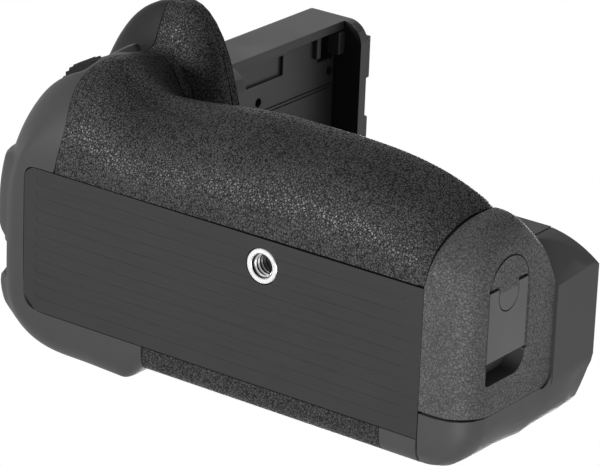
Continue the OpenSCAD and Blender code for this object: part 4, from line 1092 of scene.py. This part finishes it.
@dataclass
class Fittings:
    """Every other CAD node, as an eased copy in its own finish."""

    shop: Workshop
    fine: float = 0.06
    plain: float = 0.18
    groove_d: float = 0.25
    groove_share: float = 0.35
    hinge_y: float = -6.2
    grain_end: float = -30.0
    back_round: Pair = (31.95, 7.5)
    fullness: float = 3.4
    corner_fill: float = 1.5
    corner_draw: float = 1.0
    corner_out: Triple = (0.6, 0.8, 0.0)
    sharp: float = 32.0
    recess: tuple[Triple, Triple] = ((-53.0, -27.0, 54.0), (-46.0, -23.0, 105.0))
    tabs: tuple[tuple[Triple, Triple], ...] = (
        ((-53.0, -21.5, 107.5), (-47.1, -9.5, 109.7)), ((-53.0, 1.5, 107.5), (-47.1, 9.0, 109.7)),
        ((-56.4, -22.6, 102.6), (-52.6, -16.2, 105.4)), ((-56.4, -22.4, 95.4), (-54.6, -16.2, 97.4)))
    tab_edge: float = 0.4
    opening: Triple = (20.7, 32.0, 4.3)
    opening_corner: Pair = (25.2, 36.5)
    opening_x: Pair = (52.0, 62.6)
    fine_nodes: tuple[str, ...] = (
        "screw_gear", "idler_gear", "main_dial", "attachment_wheel", "stem_contact_pins", "bay_contacts",
        "magazine_contacts", "deck_screws", "stem_screws", "cam_screw", "thumb_board", "control_board",
        "latch_hinge_pin")

    def stem(self) -> None:
        """The stem's shell, open along the front of its recess, with its tabs and painted shade on the recess's
        roof.
        """
        bm = self.shop.merged("stem_shell")
        ease(bm, self.plain)
        bm = carve(bm, [block(*self.recess)])
        for corners in self.tabs:
            tab = block(*corners)
            ease(tab, self.tab_edge)
            join(bm, tab)
        piece = self.shop.publish(bm, "stem_shell", STEM)
        roof = self.recess[1][2]
        # painted shade: the recess's roof gets the near-black inner finish
        repaint(piece, INNER, lambda at, n: abs(at.z - roof) < 0.3 and n.z < -0.9)

    def housing(self) -> None:
        """The door end's housing, with the rounded corner of its opening."""
        bm = self.shop.merged("end_housing")
        self.fill_round(bm)
        self.true_corner(bm)
        join(bm, prism([self.opening_corner, *arc(*self.opening, 90.0, 0.0)], lambda a, b, h: Vector((h, a, b)),
                       *self.opening_x))
        self.shop.publish(bm, "end_housing", SHELL, self.sharp)

    def fill_round(self, bm: Mesh) -> None:
        """Makes the rounding along the bottom of the back fuller."""
        y0, z0 = self.back_round
        full = self.fullness
        for vert in bm.verts:
            out, down = max(0.0, vert.co.y / MM - y0), max(0.0, z0 - vert.co.z / MM)
            reach = math.hypot(out, down)
            if out and down:
                share = ((out / reach) ** full + (down / reach) ** full) ** (-1.0 / full)
                vert.co.y, vert.co.z = (y0 + out * share) * MM, (z0 - down * share) * MM

    def true_corner(self, bm: Mesh) -> None:
        """Fills the housing's back corner and draws in its upper end."""
        for vert in bm.verts:
            x, y, z = vert.co / MM
            rise = smooth((z - 18.0) / 14.0) * (1.0 - 0.6 * smooth((z - 44.0) / 6.0))
            fill = self.corner_fill * rise * smooth((x - 54.0) / 4.0) * smooth((y - 27.0) / 4.0)
            upper = smooth((z - 42.0) / 6.0) * smooth((x - 60.0) / 2.0)
            draw = self.corner_draw * upper * window(y, 21.0, 34.0, 4.0, 3.0)
            vert.co += Vector(self.corner_out) * (fill - draw) * MM

    def back(self) -> None:
        """The smooth shell and the rubber strip along the back."""
        for node, finish in (("rear_shell", SHELL), ("rear_grip_rubber", RUBBER)):
            bm = self.shop.merged(node)
            self.fill_round(bm)
            self.shop.publish(bm, node, finish, self.sharp)

    def front(self) -> None:
        """The shell under the front rubber, grained only beside the hump."""
        piece = self.shop.publish(self.shop.merged("front_shell"), "front_shell", SHELL, self.sharp)
        repaint(piece, SHELL_GRAIN, lambda at, n: at.x < self.grain_end)

    def latch(self) -> None:
        """The latch's disc, with a smooth tongue below its hinge."""
        bm = self.shop.merged("latch_barrel")
        ease(bm, self.plain)
        bmesh.ops.bisect_plane(bm, geom=[*bm.verts, *bm.edges, *bm.faces],
                               plane_co=(0.0, self.hinge_y * MM, 0.0), plane_no=(0.0, 1.0, 0.0))
        piece = self.shop.publish(bm, "latch_barrel", DOOR_GRAIN)
        repaint(piece, LEVER, lambda at, n: at.y > self.hinge_y)

    def plate(self) -> None:
        """The base plate, with shallow grooves and painted shade on its side walls."""
        bm = self.shop.merged("base_plate")
        for vert in bm.verts:
            if vert.co.z < self.groove_d * 1.2 * MM:
                vert.co.z *= self.groove_share
        ease(bm, self.fine)
        piece = self.shop.publish(bm, "base_plate", PLATE)
        # painted shade: the side walls, in the gap beside the rubber, get the near-black inner finish
        repaint(piece, INNER, lambda at, n: abs(n.z) < 0.5 and at.z > 0.3)

    def build(self) -> None:
        """Makes the special fittings, then dresses every node that is left, in its own finish or its slot's."""
        for make in (self.stem, self.housing, self.back, self.front, self.latch, self.plate):
            make()
        for node in sorted(set(self.shop.frame["nodes"]) - self.shop.done):
            width = self.fine if node in self.fine_nodes else self.plain
            self.shop.softened(node, OWN_FINISH.get(node, SLOT_FINISH[self.shop.slots[node]]), width)


# Stage


@dataclass(frozen=True)
class Lamp:
    """A soft area light that looks at the middle of the object."""

    name: str
    place: Triple
    size: float
    watts: float


@dataclass
class Studio:
    """Camera, lights, floor and backdrop."""

    eye: Triple = (511.8, -347.4, -690.3)
    right: Triple = (0.80046749, -0.03658202, 0.59825877)
    up: Triple = (-0.24668803, -0.92978461, 0.27321345)
    lens: float = 228.0
    sensor: float = 36.0
    ambient: float = 0.14
    floor_drop: float = 0.2
    floor_half: float = 4.0
    floor_tone: float = 0.86
    middle: Triple = (-12.0, 2.0, 38.0)
    lamps: tuple[Lamp, ...] = (
        Lamp("left_softbox", (-389.0, -260.0, -650.0), 0.2, 5.0),
        Lamp("right_softbox", (615.0, 178.0, -507.0), 0.5, 5.7),
        Lamp("overhead_softbox", (-330.0, 330.0, 780.0), 0.6, 6.0),
    )

    def camera(self) -> None:
        """The photograph's camera."""
        data = settle(bpy.data.cameras.new("photo_camera"), lens=self.lens, sensor_width=self.sensor,
                      sensor_fit="HORIZONTAL", clip_start=0.01, clip_end=50.0)
        camera = placed("photo_camera", data)
        right, up = Vector(self.right).normalized(), Vector(self.up).normalized()
        back = right.cross(up)
        turn = Matrix((right, up, back)).transposed().to_4x4()
        camera.matrix_world = Matrix.Translation(Vector(self.eye) * MM) @ turn
        bpy.context.scene.camera = camera

    def lights(self) -> None:
        """Soft lamps round the object."""
        for lamp in self.lamps:
            data = settle(bpy.data.lights.new(lamp.name, "AREA"), shape="DISK", size=lamp.size, energy=lamp.watts)
            light = placed(lamp.name, data)
            place = Vector(lamp.place) * MM
            aim = (Vector(self.middle) * MM - place).to_track_quat("-Z", "Y")
            light.matrix_world = Matrix.Translation(place) @ aim.to_matrix().to_4x4()

    @staticmethod
    def shown(graph: Graph) -> Value:
        """One for the rays that show the background: those of the camera, of gloss and of glass."""
        path = graph.node("LightPath")
        rays = [Value(graph, path.outputs[f"Is {kind} Ray"]) for kind in ("Camera", "Glossy", "Transmission")]
        return (rays[0] + rays[1] + rays[2]).ramp(0.0, 1.0)

    def backdrop(self) -> None:
        """A white world to look at, and a soft grey light for the object."""
        world = bpy.data.worlds.new("pale_studio")
        bpy.context.scene.world = world
        graph = Graph(world)
        white = graph.node("Background", {"Color": (1.0, 1.0, 1.0, 1.0), "Strength": 1.0})
        soft = graph.node("Background", {"Color": (0.97, 0.98, 1.0, 1.0), "Strength": self.ambient})
        graph.end(graph.mixed(self.shown(graph), soft.outputs[0], white.outputs[0]), "OutputWorld")

    def floor(self) -> None:
        """A pale floor under the base that shows only from above and lets light through from below."""
        bm = bmesh.new()
        bmesh.ops.create_grid(bm, x_segments=1, y_segments=1, size=self.floor_half)
        mesh = mesh_of("floor", bm)
        material = bpy.data.materials.new("pale_floor")
        material.cycles.emission_sampling = "NONE"
        graph = Graph(material)
        above = 1 - graph.value("NewGeometry", "Backfacing")
        tone = (self.floor_tone, self.floor_tone, self.floor_tone, 1.0)
        matte = graph.node("BsdfDiffuse", {"Color": tone})
        pale = graph.node("Emission", {"Color": tone, "Strength": 1.0})
        clear = graph.node("BsdfTransparent")
        lit = graph.mixed(0.5, matte.outputs[0], pale.outputs[0])
        graph.end(graph.mixed(self.shown(graph) * above, clear.outputs[0], lit))
        mesh.materials.append(material)
        floor = placed("floor", mesh)
        floor.location.z = -self.floor_drop * MM

    def build(self) -> None:
        """Sets the whole stage."""
        bpy.context.scene.view_settings.view_transform = "Standard"
        self.camera()
        self.lights()
        self.backdrop()
        self.floor()


def main() -> None:
    """Builds the whole scene."""
    logging.basicConfig(level=logging.INFO, format="%(message)s")
    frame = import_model()
    shop = Workshop(frame)
    grip = GripSurface()
    Skins(shop, grip).build()
    MagazineDoor(shop, grip).build()
    Threads(shop).build()
    Fittings(shop).build()
    Studio().build()
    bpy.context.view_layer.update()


if __name__ == "__main__":
    main()
